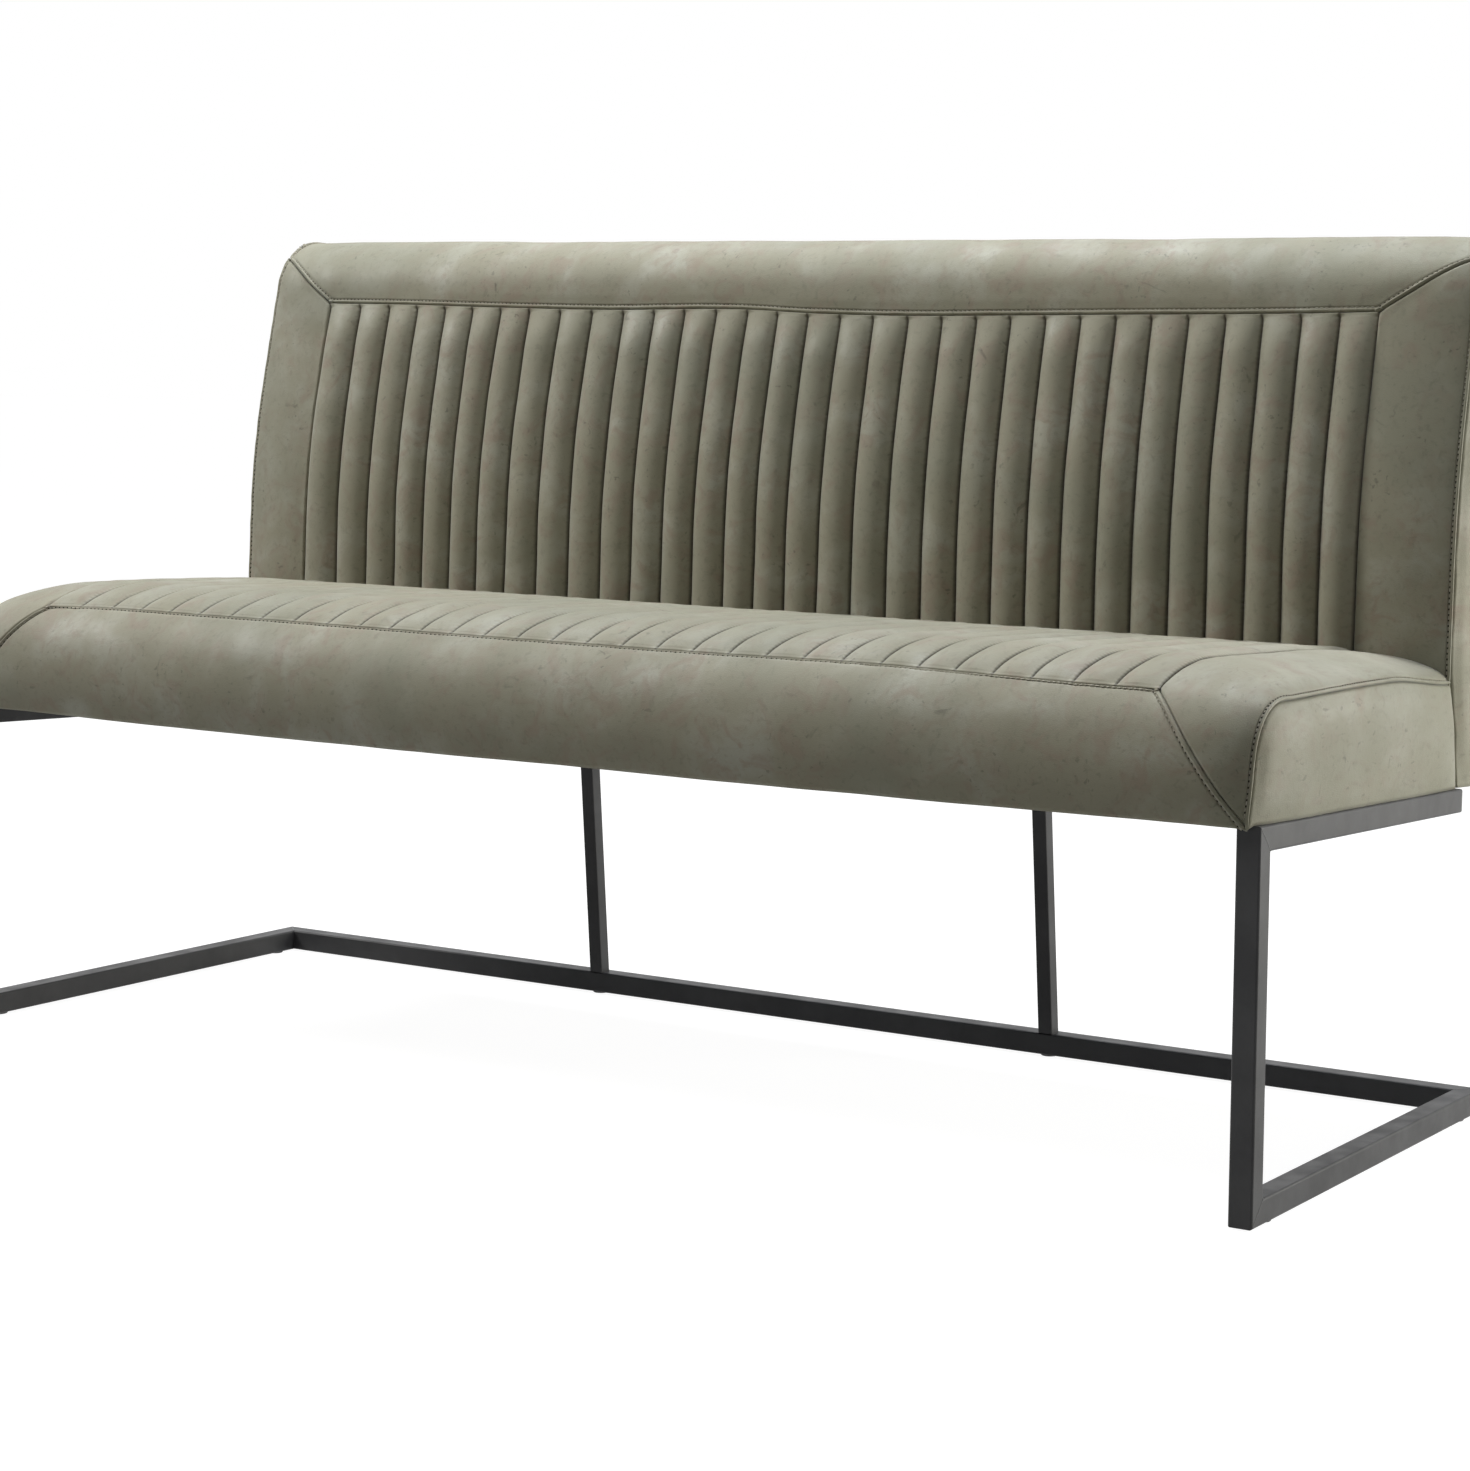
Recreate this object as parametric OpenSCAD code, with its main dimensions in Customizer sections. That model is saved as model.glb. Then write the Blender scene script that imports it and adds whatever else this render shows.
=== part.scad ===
// Dining sofa: a channelled seat and back on a frame of square steel tube.
// Millimetres, Z up. X runs along the sofa, Y from the front to the back.
// The origin is at the middle of the footprint, on the floor.
// The seat rails fall a little to the back. What they carry is drawn in a tilted frame of its own:
// v runs back along the top of the rails from the front of the legs, and h stands square to it.

/* [Steel frame] */
// Width over the outer faces of the two side frames
frame_w = 1668; // [1300:1:2200]
// Depth of the base, from the front of the legs to the back of the rear rail
base_d = 606; // [560:1:680]
// Front corner of the seat rails above the underside of the base rails
rail_top = 378; // [300:1:460]
// Fall of the seat rails to the back, in degrees
seat_slope = 2.1; // [0:0.1:4]
// How far a seat rail ends short of the rear edge of the seat
rail_setback = 5; // [2:1:40]
// Side of the square main tube
tube = 25; // [20:1:32]
// Wall of the main tube
tube_wall = 2; // [1.5:0.5:3]
// Outer corner radius of the main tube
tube_edge_r = 2.5; // [2:0.5:4]
// Side of the square tube of the rear struts
strut = 18; // [14:1:25]
// Wall of the strut tube
strut_wall = 1.5; // [1:0.5:2.5]
// Outer corner radius of the strut tube
strut_edge_r = 1.8; // [1.2:0.2:3]
// Distance between the middles of the two struts
strut_pitch = 634; // [300:1:900]

/* [Cushion outline] */
// Step from the outer face of a side frame in to the side seam of the cushions
side_inset = 8.5; // [2:0.5:14]
// Width of the plain border beside the channels
border_w = 104; // [70:1:160]
// Thickness of a side panel
side_panel_t = 8; // [5:1:14]
// How far a side panel swells in its middle
side_swell = 5; // [2:1:10]
// Thickness of the soft layer at the side seams
pad_t = 13; // [8:1:16]

/* [Channels] */
// Number of sewn channels across the seat and the back
channels = 32; // [20:1:36]
// Height of a seat channel between its two seams
seat_pillow = 5; // [2:0.5:8]
// Height of a back channel between its two seams
back_pillow = 7; // [2:0.5:10]

/* [Seat] */
// Height of the front seam over the rails
seam_h = 120; // [105:1:140]
// Front seam behind the front of the legs
seam_v = 15; // [8:1:30]
// Height of the crown of the seat over the rails
crown_h = 146; // [130:1:170]
// Where the seat reaches its crown, behind the front of the legs
crown_v = 130; // [90:1:200]
// How far the front band stands out in front of the legs
band_bulge = 24; // [14:1:34]
// Height at which the front band stands out most
band_bulge_h = 45; // [30:1:60]
// How far the front band hangs below the top of the rails
band_drop = 3; // [1:0.5:6]
// Foot of the side seam in front of the legs
side_foot_v = 12; // [8:1:20]
// Backward lean of the side seam at the front, in degrees
side_lean = 9; // [0:1:14]
// Radius of the side seam's upper front corner
side_corner_r = 58; // [35:1:66]

/* [Back] */
// Front of the back at its side seam, behind the front of the legs
back_v = 500; // [480:1:506]
// How far the seat frame reaches in under the back
seat_under_back = 26; // [22:1:32]
// Height of the foot of the back's padding over the rails
back_foot_h = 105; // [90:1:112]
// Height at which the back begins to lean
bend_h = 220; // [190:1:260]
// Radius of the lumbar bend
bend_r = 956; // [500:1:1400]
// Lean of the upper back from the lower, in degrees
recline = 10.4; // [4:0.1:15]
// Height of the top seam of the channels over the rails
field_h = 498; // [450:1:520]
// Height of the top of the back over the rails
back_h = 589; // [585:1:680]
// Thickness of the back
back_t = 92; // [86:1:110]
// How far the middle of the back stands in front of its side seams
back_crown = 16; // [8:1:22]
// Radius of the back's top front edge
top_front_r = 75; // [60:1:76]
// Radius of the back's top rear edge
top_rear_r = 14; // [8:1:20]

/* [Inner frame] */
// Height of the seat boards
board_h = 45; // [36:1:48]
// Thickness of the front, rear and cross boards of the seat
board_t = 22; // [18:1:26]
// Width of the side boards and of the outer back posts
side_board_t = 40; // [32:1:46]
// Thickness of the webbing
web_t = 2; // [1.5:0.5:3]
// Width of a web
web_w = 60; // [40:1:70]
// Thickness of the curved panel on the back posts
panel_t = 4; // [3:0.5:5]
// Thickness of the back's foam between the channels and the panel
back_foam_t = 35; // [28:1:38]
// Thickness of the dust cover under the seat
dust_t = 1; // [0.6:0.2:1.6]
// Thickness of the cover on the rear of the back
rear_cover_t = 4; // [3:0.5:6]

/* [Fittings] */
// Thickness of the lugs and of the strut plates
plate_t = 4; // [3:0.5:5]
// Diameter of the bolts
bolt_d = 8; // [6:1:8]
// Diameter of the wood screws
screw_d = 5; // [4:0.5:6]
// Height of a floor glide
glide_h = 2; // [1:0.5:5]
// Diameter of a floor glide
glide_d = 20; // [14:1:22]

/* [Hidden] */
$fn = 32;

steel = [0.25, 0.25, 0.26];
zinc = [0.72, 0.73, 0.74];
plastic = [0.08, 0.08, 0.08];
leather = [0.55, 0.53, 0.46];
timber = [0.80, 0.66, 0.46];
foam = [0.92, 0.88, 0.74];
cloth = [0.12, 0.12, 0.12];

// Clearances and the overrun of cutting shapes
soft_gap = 0.3;
hole_gap = 0.5;
overrun = 1;
reach = frame_w + base_d;

// Half widths: to the side seam, to the inside of a side panel, and to the edge of the channels
seam_x = frame_w / 2 - side_inset;
panel_x = seam_x - side_panel_t;
field_x = seam_x - border_w;
channel_w = 2 * field_x / channels;
rail_x = frame_w / 2 - tube;

// Width that a border keeps where its mitre seam runs out
mitre_end = 1.5;

// Points of an arc as [v, h, angle], where the angle is that of the outward face above the horizontal
function arc_rows(centre, r, from, to, steps, first = 0) =
    [for (i = [first:steps]) let (a = from + (to - from) * i / steps)
        [centre.x - r * cos(a), centre.y + r * sin(a), a]];
function inset(p, t) = [p.x + t * cos(p.z), p.y - t * sin(p.z)];
function mix(p, q, share) = p * (1 - share) + q * share;
function flat(p) = [p.x, p.y];

// Share of the crown at a distance from the middle: full over the channels, none at the side seam
function crown_share(x) = let (u = max(0, (abs(x) - field_x) / border_w)) sqrt(max(0, 1 - u * u));

// Seat, section through its middle: the front band, the seam, the rise to the crown, and the top
band_r = (pow(seam_v + band_bulge, 2) + pow(seam_h - band_bulge_h, 2)) / (2 * (seam_v + band_bulge));
band_c = [band_r - band_bulge, band_bulge_h];
deck_h = dust_t + board_h + 2 * web_t;
board_v = 3;
lip_v = 0.5;
function band_angle(h) = asin((h - band_c.y) / band_r);
function band_row(a) = [band_c.x - band_r * cos(a), band_c.y + band_r * sin(a), a];
band_heights = [-band_drop, soft_gap, deck_h / 2, deck_h];
band_steps = 3;
rise_r = (pow(crown_v - seam_v, 2) + pow(crown_h - seam_h, 2)) / (2 * (crown_h - seam_h));
rise_from = asin(1 - (crown_h - seam_h) / rise_r);
rise_steps = 4;
rear_mid_v = back_v - back_crown - soft_gap;
seat_d = back_v + seat_under_back;
seat_rail_l = seat_d - rail_setback;
seat_mid = concat(
    [for (h = band_heights) band_row(band_angle(h))],
    [for (i = [1:band_steps]) band_row(mix(band_angle(deck_h), band_angle(seam_h), i / band_steps))],
    arc_rows([crown_v, crown_h - rise_r], rise_r, rise_from, 90, rise_steps, 1),
    [[(crown_v + rear_mid_v) / 2, crown_h, 90], [rear_mid_v, crown_h, 90]]);
seam_row = len(band_heights) - 1 + band_steps;
last_row = len(seat_mid) - 1;

// Seat, section at the side seam, with a row for each row of the middle section
side_c = [-side_foot_v + (seam_h - side_corner_r) * tan(side_lean) + side_corner_r / cos(side_lean),
    seam_h - side_corner_r];
side_steps = band_steps + rise_steps - 2;
seat_end = concat(
    [for (h = band_heights) [-side_foot_v + h * tan(side_lean), h, side_lean]],
    arc_rows(side_c, side_corner_r, side_lean, 90, side_steps),
    [[crown_v, seam_h, 90], [(crown_v + back_v) / 2, seam_h, 90], [back_v - soft_gap, seam_h, 90]]);

// Seat, inside of the soft layer: the same along the whole width, so that the foam is a plain extrusion
inside_share = crown_share(panel_x);
seat_inside = concat(
    [[-lip_v, -band_drop], [-lip_v, soft_gap], [board_v, deck_h / 2], [board_v, deck_h]],
    [for (r = [len(band_heights):last_row - 1])
        mix(inset(seat_end[r], pad_t), inset(seat_mid[r], pad_t), inside_share)],
    [[rear_mid_v, seam_h - pad_t + (crown_h - seam_h) * inside_share]]);
function seat_skin(r, x) = let (p = mix(seat_end[r], seat_mid[r], crown_share(x))) [x, p.x, p.y];

// Half width of the front band at each row: its mitre seams run from the lower corners to the channels
function band_x(r) = r >= seam_row ? field_x
    : mix(panel_x - mitre_end, field_x, (band_angle_of(r) - band_angle_of(0))
        / (band_angle_of(seam_row) - band_angle_of(0)));
function band_angle_of(r) = seat_mid[r].z;

// Back, section at the side seam, from the foot of the padding up the front and over the top
pillow_from_h = crown_h + 2 * soft_gap;
pillow_full_h = (pillow_from_h + bend_h) / 2;
bend_c = [back_v + bend_r, bend_h];
bend_steps = 3;
bend_end = [bend_c.x - bend_r * cos(recline), bend_c.y + bend_r * sin(recline)];
function lean_v(h) = bend_end.x + (h - bend_end.y) * tan(recline);
top_c_h = back_h - top_front_r;
top_c = [lean_v(top_c_h + top_front_r * sin(recline)) + top_front_r * cos(recline), top_c_h];
top_steps = 6;
rear_c_h = back_h - top_rear_r;
rear_c = [lean_v(rear_c_h - top_rear_r * sin(recline)) + back_t / cos(recline)
    - top_rear_r * cos(recline), rear_c_h];
rear_steps = 3;
half_turn = 180;
back_front = concat(
    [for (h = [back_foot_h, pillow_from_h, pillow_full_h, bend_h]) [back_v, h, 0]],
    arc_rows(bend_c, bend_r, 0, recline, bend_steps, 1),
    [[lean_v(field_h), field_h, recline]],
    arc_rows(top_c, top_front_r, recline, 90, top_steps, field_h < top_c_h + top_front_r * sin(recline) ? 0 : 1),
    arc_rows(rear_c, top_rear_r, 90, half_turn + recline, rear_steps));
field_row = 4 + bend_steps;
back_last = len(back_front) - 1;
mitre_row = field_row + 4;
function rear_of(p) = inset(p, back_t);

// The crown stands square to the front and dies out over the top
function back_skin(r, x) = let (p = back_front[r], c = back_crown * crown_share(x) * pow(max(0, cos(p.z)), 2))
    [x, p.x - c * cos(p.z), p.y + c * sin(p.z)];
function run_over(r) = r <= field_row ? 0
    : run_over(r - 1) + norm(flat(back_front[r]) - flat(back_front[r - 1]));
function top_x(r) = r >= mitre_row ? panel_x - mitre_end
    : mix(field_x, panel_x - mitre_end, run_over(r) / run_over(mitre_row));
back_inside = [for (r = [0:back_last]) inset(back_front[r], pad_t)];
panel_front = pad_t + back_foam_t;
post_front = panel_front + panel_t;
post_rear = back_t - rear_cover_t;
frame_rows = [for (r = [0:field_row]) back_front[r]];

// Back of the lower posts and of the bottom board
post_rear_v = back_v + post_rear;
bottom_board_h = 30;
post_foot_h = back_foot_h - soft_gap;

// Where the struts stand and where they meet their plates
strut_foot = [base_d - tube, tube];
strut_top_v = (seat_d + post_rear_v) / 2;
function world_y(v, h) = v * cos(seat_slope) + h * sin(seat_slope);
function world_z(v, h) = rail_top - v * sin(seat_slope) + h * cos(seat_slope);
strut_rise = world_z(strut_top_v, -plate_t) - strut_foot.y;
strut_run = strut_foot.x + strut / 2 - world_y(strut_top_v, -plate_t);
strut_lean = atan(strut_run / strut_rise);

// Middle of the footprint between the front band and the back's rear edge
front_y = min([for (p = seat_mid) world_y(p.x, p.y)]);
rear_y = max(base_d, max([for (p = back_front) world_y(p.x, p.y)]));
mid_y = (front_y + rear_y) / 2;

// Bolts through the lugs into the side boards
bolt_x = panel_x - side_board_t / 2;
lug_v_shares = [0.16, 0.5, 0.84];
lug_w = 40;
lug_end = 16;
bolt_head_h = 5.3;
bolt_head_share = 1.625;
washer_t = 1.6;
washer_share = 2;
nut_barrel_share = 1.3;
nut_barrel_l = 12;
nut_flange_share = 2.8;
nut_flange_t = 1.5;
nut_gap = 0.1;

// Places along the sofa
cross_x_shares = [-1 / 3, 1 / 3];
web_x_shares = [-0.88, -0.63, -0.38, -0.13, 0.13, 0.38, 0.63, 0.88];
web_v_shares = [0.25, 0.5, 0.75];
glide_y_shares = [0.08, 0.92];
cross_board_w = 44;

plate_x = 84;
plate_v = 52;
screw_x_share = 0.34;
screw_v_share = 0.3;
screw_l = 26;
screw_head_h = 3;
screw_head_share = 1.8;
back_bolt_shares = [0.3, 0.72];
counterbore_l = 12;
rail_h = 66;
rail_t = 20;
inner_post_t = 26;
post_top_drop = 40;
cap_t = 3;
cap_plug_l = 18;
cap_gap = 0.2;
glide_stem_share = 0.38;
glide_stem_l = 9;
glide_edge = 0.8;

// Frames of reference
module placed() {
    translate([0, -mid_y, glide_h]) children();
}

module seated() {
    translate([0, 0, rail_top]) rotate([-seat_slope, 0, 0]) children();
}

module right_and_left(side) {
    mirror([side == "left" ? 1 : 0, 0, 0]) children();
}

// A half space whose edge runs along X through [y, z], above or below a plane at an angle
module half_space(y, z, angle, above) {
    translate([0, y, z]) rotate([angle, 0, 0])
        translate([-reach, -reach, above ? 0 : -reach]) cube([2 * reach, 2 * reach, reach]);
}

module rounded_square(side, r) {
    translate([r, 0]) square([side - 2 * r, side]);
    translate([0, r]) square([side, side - 2 * r]);
    for (x = [r, side - r], y = [r, side - r]) translate([x, y]) circle(r);
}

// Square tube along Z with one corner on the axis
module tube_bar(side, wall, r, l) {
    linear_extrude(l) difference() {
        rounded_square(side, r);
        translate([wall, wall]) rounded_square(side - 2 * wall, r / 2);
    }
}

// Front leg, mitred into the base rail below and into the seat rail above
mitre_angle = 45 + seat_slope / 2;
module front_leg(side) {
    color(steel) placed() right_and_left(side) difference() {
        translate([rail_x, 0, -overrun]) tube_bar(tube, tube_wall, tube_edge_r, rail_top + 2 * overrun);
        half_space(0, 0, 45, false);
        half_space(0, rail_top, -mitre_angle, true);
    }
}

module seat_rail(side) {
    color(steel) placed() right_and_left(side) difference() {
        seated() translate([rail_x, -overrun, 0]) rotate([-90, 0, 0])
            tube_bar(tube, tube_wall, tube_edge_r, seat_rail_l + overrun);
        half_space(0, rail_top, -mitre_angle, false);
    }
}

// Half space beyond the mitre of a rear corner of the base
module rear_corner(beyond) {
    translate([frame_w / 2, base_d, -reach]) rotate([0, 0, 45])
        translate([-reach, beyond ? 0 : -reach, 0]) cube([2 * reach, reach, 2 * reach]);
}

module glide_holes() {
    d = glide_d * glide_stem_share + hole_gap;
    for (s = glide_y_shares) translate([rail_x + tube / 2, base_d * s, -overrun])
        cylinder(d = d, h = tube_wall + 2 * overrun);
}

module base_rail(side) {
    color(steel) placed() right_and_left(side) difference() {
        translate([rail_x, -overrun, tube]) rotate([-90, 0, 0])
            tube_bar(tube, tube_wall, tube_edge_r, base_d + 2 * overrun);
        half_space(0, 0, 45, true);
        rear_corner(true);
        glide_holes();
    }
}

module rear_base_rail() {
    color(steel) placed() difference() {
        translate([-frame_w / 2 - overrun, base_d - tube, tube]) rotate([0, 90, 0])
            tube_bar(tube, tube_wall, tube_edge_r, frame_w + 2 * overrun);
        rear_corner(false);
        mirror([1, 0, 0]) rear_corner(false);
        for (x = [-strut_pitch / 2, strut_pitch / 2]) translate([x, base_d - tube / 2, -overrun])
            cylinder(d = glide_d * glide_stem_share + hole_gap, h = tube_wall + 2 * overrun);
    }
}

// Strut from the rear base rail up to its plate
module rear_strut(side) {
    color(steel) placed() right_and_left(side) difference() {
        translate([strut_pitch / 2 - strut / 2, strut_foot.x, strut_foot.y]) rotate([strut_lean, 0, 0])
            translate([0, 0, -strut]) tube_bar(strut, strut_wall, strut_edge_r, strut_rise + 3 * strut);
        half_space(0, tube, 0, false);
        seated() translate([-reach, -reach, -plate_t]) cube([2 * reach, 2 * reach, reach]);
    }
}

module screw_places() {
    for (x = [-plate_x, plate_x] * screw_x_share, v = [-plate_v, plate_v] * screw_v_share)
        translate([strut_pitch / 2 + x, strut_top_v + v, 0]) children();
}

module strut_plate(side) {
    color(steel) placed() right_and_left(side) seated() difference() {
        translate([strut_pitch / 2 - plate_x / 2, strut_top_v - plate_v / 2, -plate_t])
            cube([plate_x, plate_v, plate_t]);
        screw_places() translate([0, 0, -plate_t - overrun])
            cylinder(d = screw_d + hole_gap, h = plate_t + 2 * overrun);
    }
}

module plate_screws() {
    color(zinc) placed() for (side = ["left", "right"]) right_and_left(side) seated() screw_places() {
        translate([0, 0, -plate_t - screw_head_h]) cylinder(d = screw_d * screw_head_share, h = screw_head_h);
        translate([0, 0, -plate_t]) cylinder(d = screw_d, h = screw_l);
    }
}

// Lugs welded to the inner faces of the seat rails, drilled for the bolts
module lug_places() {
    for (side = ["left", "right"], s = lug_v_shares) right_and_left(side) seated()
        translate([bolt_x, seat_rail_l * s, 0]) children();
}

module seat_rail_lugs() {
    color(steel) placed() lug_places() difference() {
        translate([-lug_end, -lug_w / 2, -plate_t]) cube([rail_x - bolt_x + lug_end, lug_w, plate_t]);
        translate([0, 0, -plate_t - overrun]) cylinder(d = bolt_d + hole_gap, h = plate_t + 2 * overrun);
    }
}

module seat_washers() {
    color(zinc) placed() lug_places() translate([0, 0, -plate_t - washer_t]) difference() {
        cylinder(d = bolt_d * washer_share, h = washer_t);
        translate([0, 0, -overrun]) cylinder(d = bolt_d + hole_gap, h = washer_t + 2 * overrun);
    }
}

module hex_bolt(l) {
    translate([0, 0, -bolt_head_h]) cylinder(d = bolt_d * bolt_head_share, h = bolt_head_h, $fn = 6);
    cylinder(d = bolt_d, h = l);
}

nut_top_h = dust_t + board_h;
module seat_bolts() {
    start = -plate_t - washer_t;
    color(zinc) placed() lug_places() translate([0, 0, start]) hex_bolt(nut_top_h - nut_flange_t - start);
}

// Tee nut with its flange at z = 0 and its barrel below
module tee_nut() {
    translate([0, 0, -nut_flange_t]) difference() {
        union() {
            cylinder(d = bolt_d * nut_flange_share, h = nut_flange_t);
            translate([0, 0, -nut_barrel_l]) cylinder(d = bolt_d * nut_barrel_share, h = nut_barrel_l);
        }
        translate([0, 0, -nut_barrel_l - overrun])
            cylinder(d = bolt_d + nut_gap, h = nut_barrel_l + nut_flange_t + 2 * overrun);
    }
}

// Hole for a bolt of length l with a seat for the tee nut at z = 0
module tee_nut_hole(l) {
    translate([0, 0, -l - overrun]) cylinder(d = bolt_d + hole_gap, h = l + overrun);
    translate([0, 0, -nut_flange_t - nut_barrel_l]) cylinder(d = bolt_d * nut_barrel_share + nut_gap,
        h = nut_barrel_l + nut_flange_t + overrun);
    translate([0, 0, -nut_flange_t]) cylinder(d = bolt_d * nut_flange_share + nut_gap,
        h = nut_flange_t + overrun);
}

module tee_nuts() {
    color(zinc) placed() lug_places() translate([0, 0, nut_top_h]) tee_nut();
}

module rail_end_caps() {
    inner = tube - 2 * tube_wall - 2 * cap_gap;
    color(plastic) placed() for (side = ["left", "right"]) right_and_left(side) seated()
        translate([rail_x, seat_rail_l, 0]) rotate([-90, 0, 0]) {
            linear_extrude(cap_t) rounded_square(tube, tube_edge_r);
            translate([tube_wall + cap_gap, tube_wall + cap_gap, -cap_plug_l])
                linear_extrude(cap_plug_l) rounded_square(inner, tube_edge_r / 2);
        }
}

// Pressed-in glides: a flat disc with an eased edge on a stem
module glide() {
    r = glide_d / 2;
    stem_r = r * glide_stem_share;
    rotate_extrude() polygon([[0, 0], [r - glide_edge, 0], [r, glide_edge], [r, glide_h],
        [stem_r, glide_h], [stem_r, glide_h + glide_stem_l], [0, glide_h + glide_stem_l]]);
}

module floor_glides() {
    color(plastic) translate([0, -mid_y, 0]) {
        for (side = ["left", "right"], s = glide_y_shares) right_and_left(side)
            translate([rail_x + tube / 2, base_d * s, 0]) glide();
        for (x = [-strut_pitch / 2, strut_pitch / 2]) translate([x, base_d - tube / 2, 0]) glide();
    }
}

// Seat frame: boards on edge, glued and screwed at their ends
inner_w = 2 * (panel_x - side_board_t);
module seat_board(x, v, w, d) {
    translate([x, v, dust_t]) cube([w, d, board_h]);
}

module seat_front_board() {
    color(timber) placed() seated() seat_board(-panel_x, board_v, 2 * panel_x, board_t);
}

module back_bolt_places() {
    for (side = ["left", "right"], s = back_bolt_shares) right_and_left(side) seated()
        translate([bolt_x, 0, dust_t + board_h * s]) rotate([-90, 0, 0]) children();
}

module seat_rear_board() {
    color(timber) placed() difference() {
        seated() seat_board(-panel_x, seat_d - board_t, 2 * panel_x, board_t);
        back_bolt_places() translate([0, 0, seat_d - board_t]) mirror([0, 0, 1]) tee_nut_hole(board_t);
    }
}

module seat_side_board(side) {
    color(timber) placed() difference() {
        right_and_left(side) seated() seat_board(panel_x - side_board_t, board_v + board_t, side_board_t,
            seat_d - board_v - 2 * board_t);
        lug_places() translate([0, 0, nut_top_h]) tee_nut_hole(board_h);
    }
}

module seat_cross_boards() {
    color(timber) placed() seated() for (s = cross_x_shares)
        seat_board(inner_w * s - cross_board_w / 2, board_v + board_t, cross_board_w,
            seat_d - board_v - 2 * board_t);
}

module seat_webs_front_to_back() {
    color(cloth) placed() seated() for (s = web_x_shares)
        translate([panel_x * s - web_w / 2, board_v, dust_t + board_h]) cube([web_w, seat_d - board_v, web_t]);
}

module seat_webs_side_to_side() {
    color(cloth) placed() seated() for (s = web_v_shares)
        translate([-panel_x, seat_d * s - web_w / 2, dust_t + board_h + web_t])
            cube([2 * panel_x, web_w, web_t]);
}

// A length of one section across the sofa between the two side panels
module across(points) {
    translate([-panel_x, 0, 0]) rotate([90, 0, 90]) linear_extrude(2 * panel_x) polygon(points);
}

module seat_foam() {
    color(foam) placed() seated() across(concat(
        [for (r = [len(band_heights) - 1:last_row]) flat(seat_inside[r])],
        [[rear_mid_v, post_foot_h], [seat_d, post_foot_h], [seat_d, deck_h]]));
}

module seat_dust_cover() {
    color(cloth) placed() difference() {
        seated() translate([-panel_x, board_v, 0]) cube([2 * panel_x, post_rear_v - board_v, dust_t]);
        lug_places() translate([0, 0, -overrun]) cylinder(d = bolt_d + hole_gap, h = dust_t + 2 * overrun);
        for (side = ["left", "right"]) right_and_left(side) seated() screw_places()
            translate([0, 0, -overrun]) cylinder(d = screw_d + hole_gap, h = dust_t + 2 * overrun);
    }
}

// A closed solid between an outer and an inner grid of points, rows by columns
module grid_solid(outer, inner) {
    rows = len(outer);
    cols = len(outer[0]);
    function o(r, c) = r * cols + c;
    function i(r, c) = (rows + r) * cols + c;
    polyhedron(concat([for (row = outer) each row], [for (row = inner) each row]), concat(
        [for (r = [0:rows - 2], c = [0:cols - 2]) each [
            [o(r, c), o(r + 1, c), o(r + 1, c + 1)], [o(r, c), o(r + 1, c + 1), o(r, c + 1)],
            [i(r, c), i(r + 1, c + 1), i(r + 1, c)], [i(r, c), i(r, c + 1), i(r + 1, c + 1)]]],
        [for (c = [0:cols - 2]) each let (t = rows - 1) [
            [o(0, c), o(0, c + 1), i(0, c + 1)], [o(0, c), i(0, c + 1), i(0, c)],
            [o(t, c + 1), o(t, c), i(t, c)], [o(t, c + 1), i(t, c), i(t, c + 1)]]],
        [for (r = [0:rows - 2]) each let (t = cols - 1) [
            [o(r + 1, 0), o(r, 0), i(r + 1, 0)], [o(r, 0), i(r, 0), i(r + 1, 0)],
            [o(r, t), o(r + 1, t), i(r + 1, t)], [o(r, t), i(r + 1, t), i(r, t)]]]));
}

// A channelled panel: a quilted outer grid on an inside that is straight across the sofa
module channel_solid(outer, inside) {
    rows = len(outer);
    cols = len(outer[0]);
    last = cols - 1;
    x = field_x;
    function o(r, c) = r * cols + c;
    function l(r) = rows * cols + 2 * r;
    function q(r) = l(r) + 1;
    polyhedron(concat([for (row = outer) each row],
        [for (p = inside) each [[-x, p.x, p.y], [x, p.x, p.y]]]), concat(
        [for (r = [0:rows - 2], c = [0:cols - 2]) each [
            [o(r, c), o(r + 1, c), o(r + 1, c + 1)], [o(r, c), o(r + 1, c + 1), o(r, c + 1)]]],
        [for (r = [0:rows - 2]) each [[l(r), q(r), q(r + 1)], [l(r), q(r + 1), l(r + 1)],
            [o(r + 1, 0), o(r, 0), l(r + 1)], [o(r, 0), l(r), l(r + 1)],
            [o(r, last), o(r + 1, last), q(r + 1)], [o(r, last), q(r + 1), q(r)]]],
        [for (c = [0:last - 1]) each [[o(0, c), o(0, c + 1), l(0)],
            [o(rows - 1, c + 1), o(rows - 1, c), l(rows - 1)]]],
        [[o(0, last), q(0), l(0)], [o(rows - 1, last), l(rows - 1), q(rows - 1)]]));
}

// Cross-section of a channel: the share of its height at the seam and at steps between two seams
pillow_shares = [0, 0.76, 1, 0.76];
function pillow_share(c) = pillow_shares[c % len(pillow_shares)];
function channel_x(c) = -field_x + channel_w * c / len(pillow_shares);
channel_cols = channels * len(pillow_shares);

module seat_channel_panel() {
    rows = [seam_row:last_row];
    color(leather) placed() seated() channel_solid(
        [for (r = rows) let (p = seat_mid[r], full = r == seam_row || r == last_row ? 0 : seat_pillow)
            [for (c = [0:channel_cols]) let (t = -full * pillow_share(c), q = inset(p, t))
                [channel_x(c), q.x, q.y]]],
        [for (r = rows) seat_inside[r]]);
}

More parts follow.
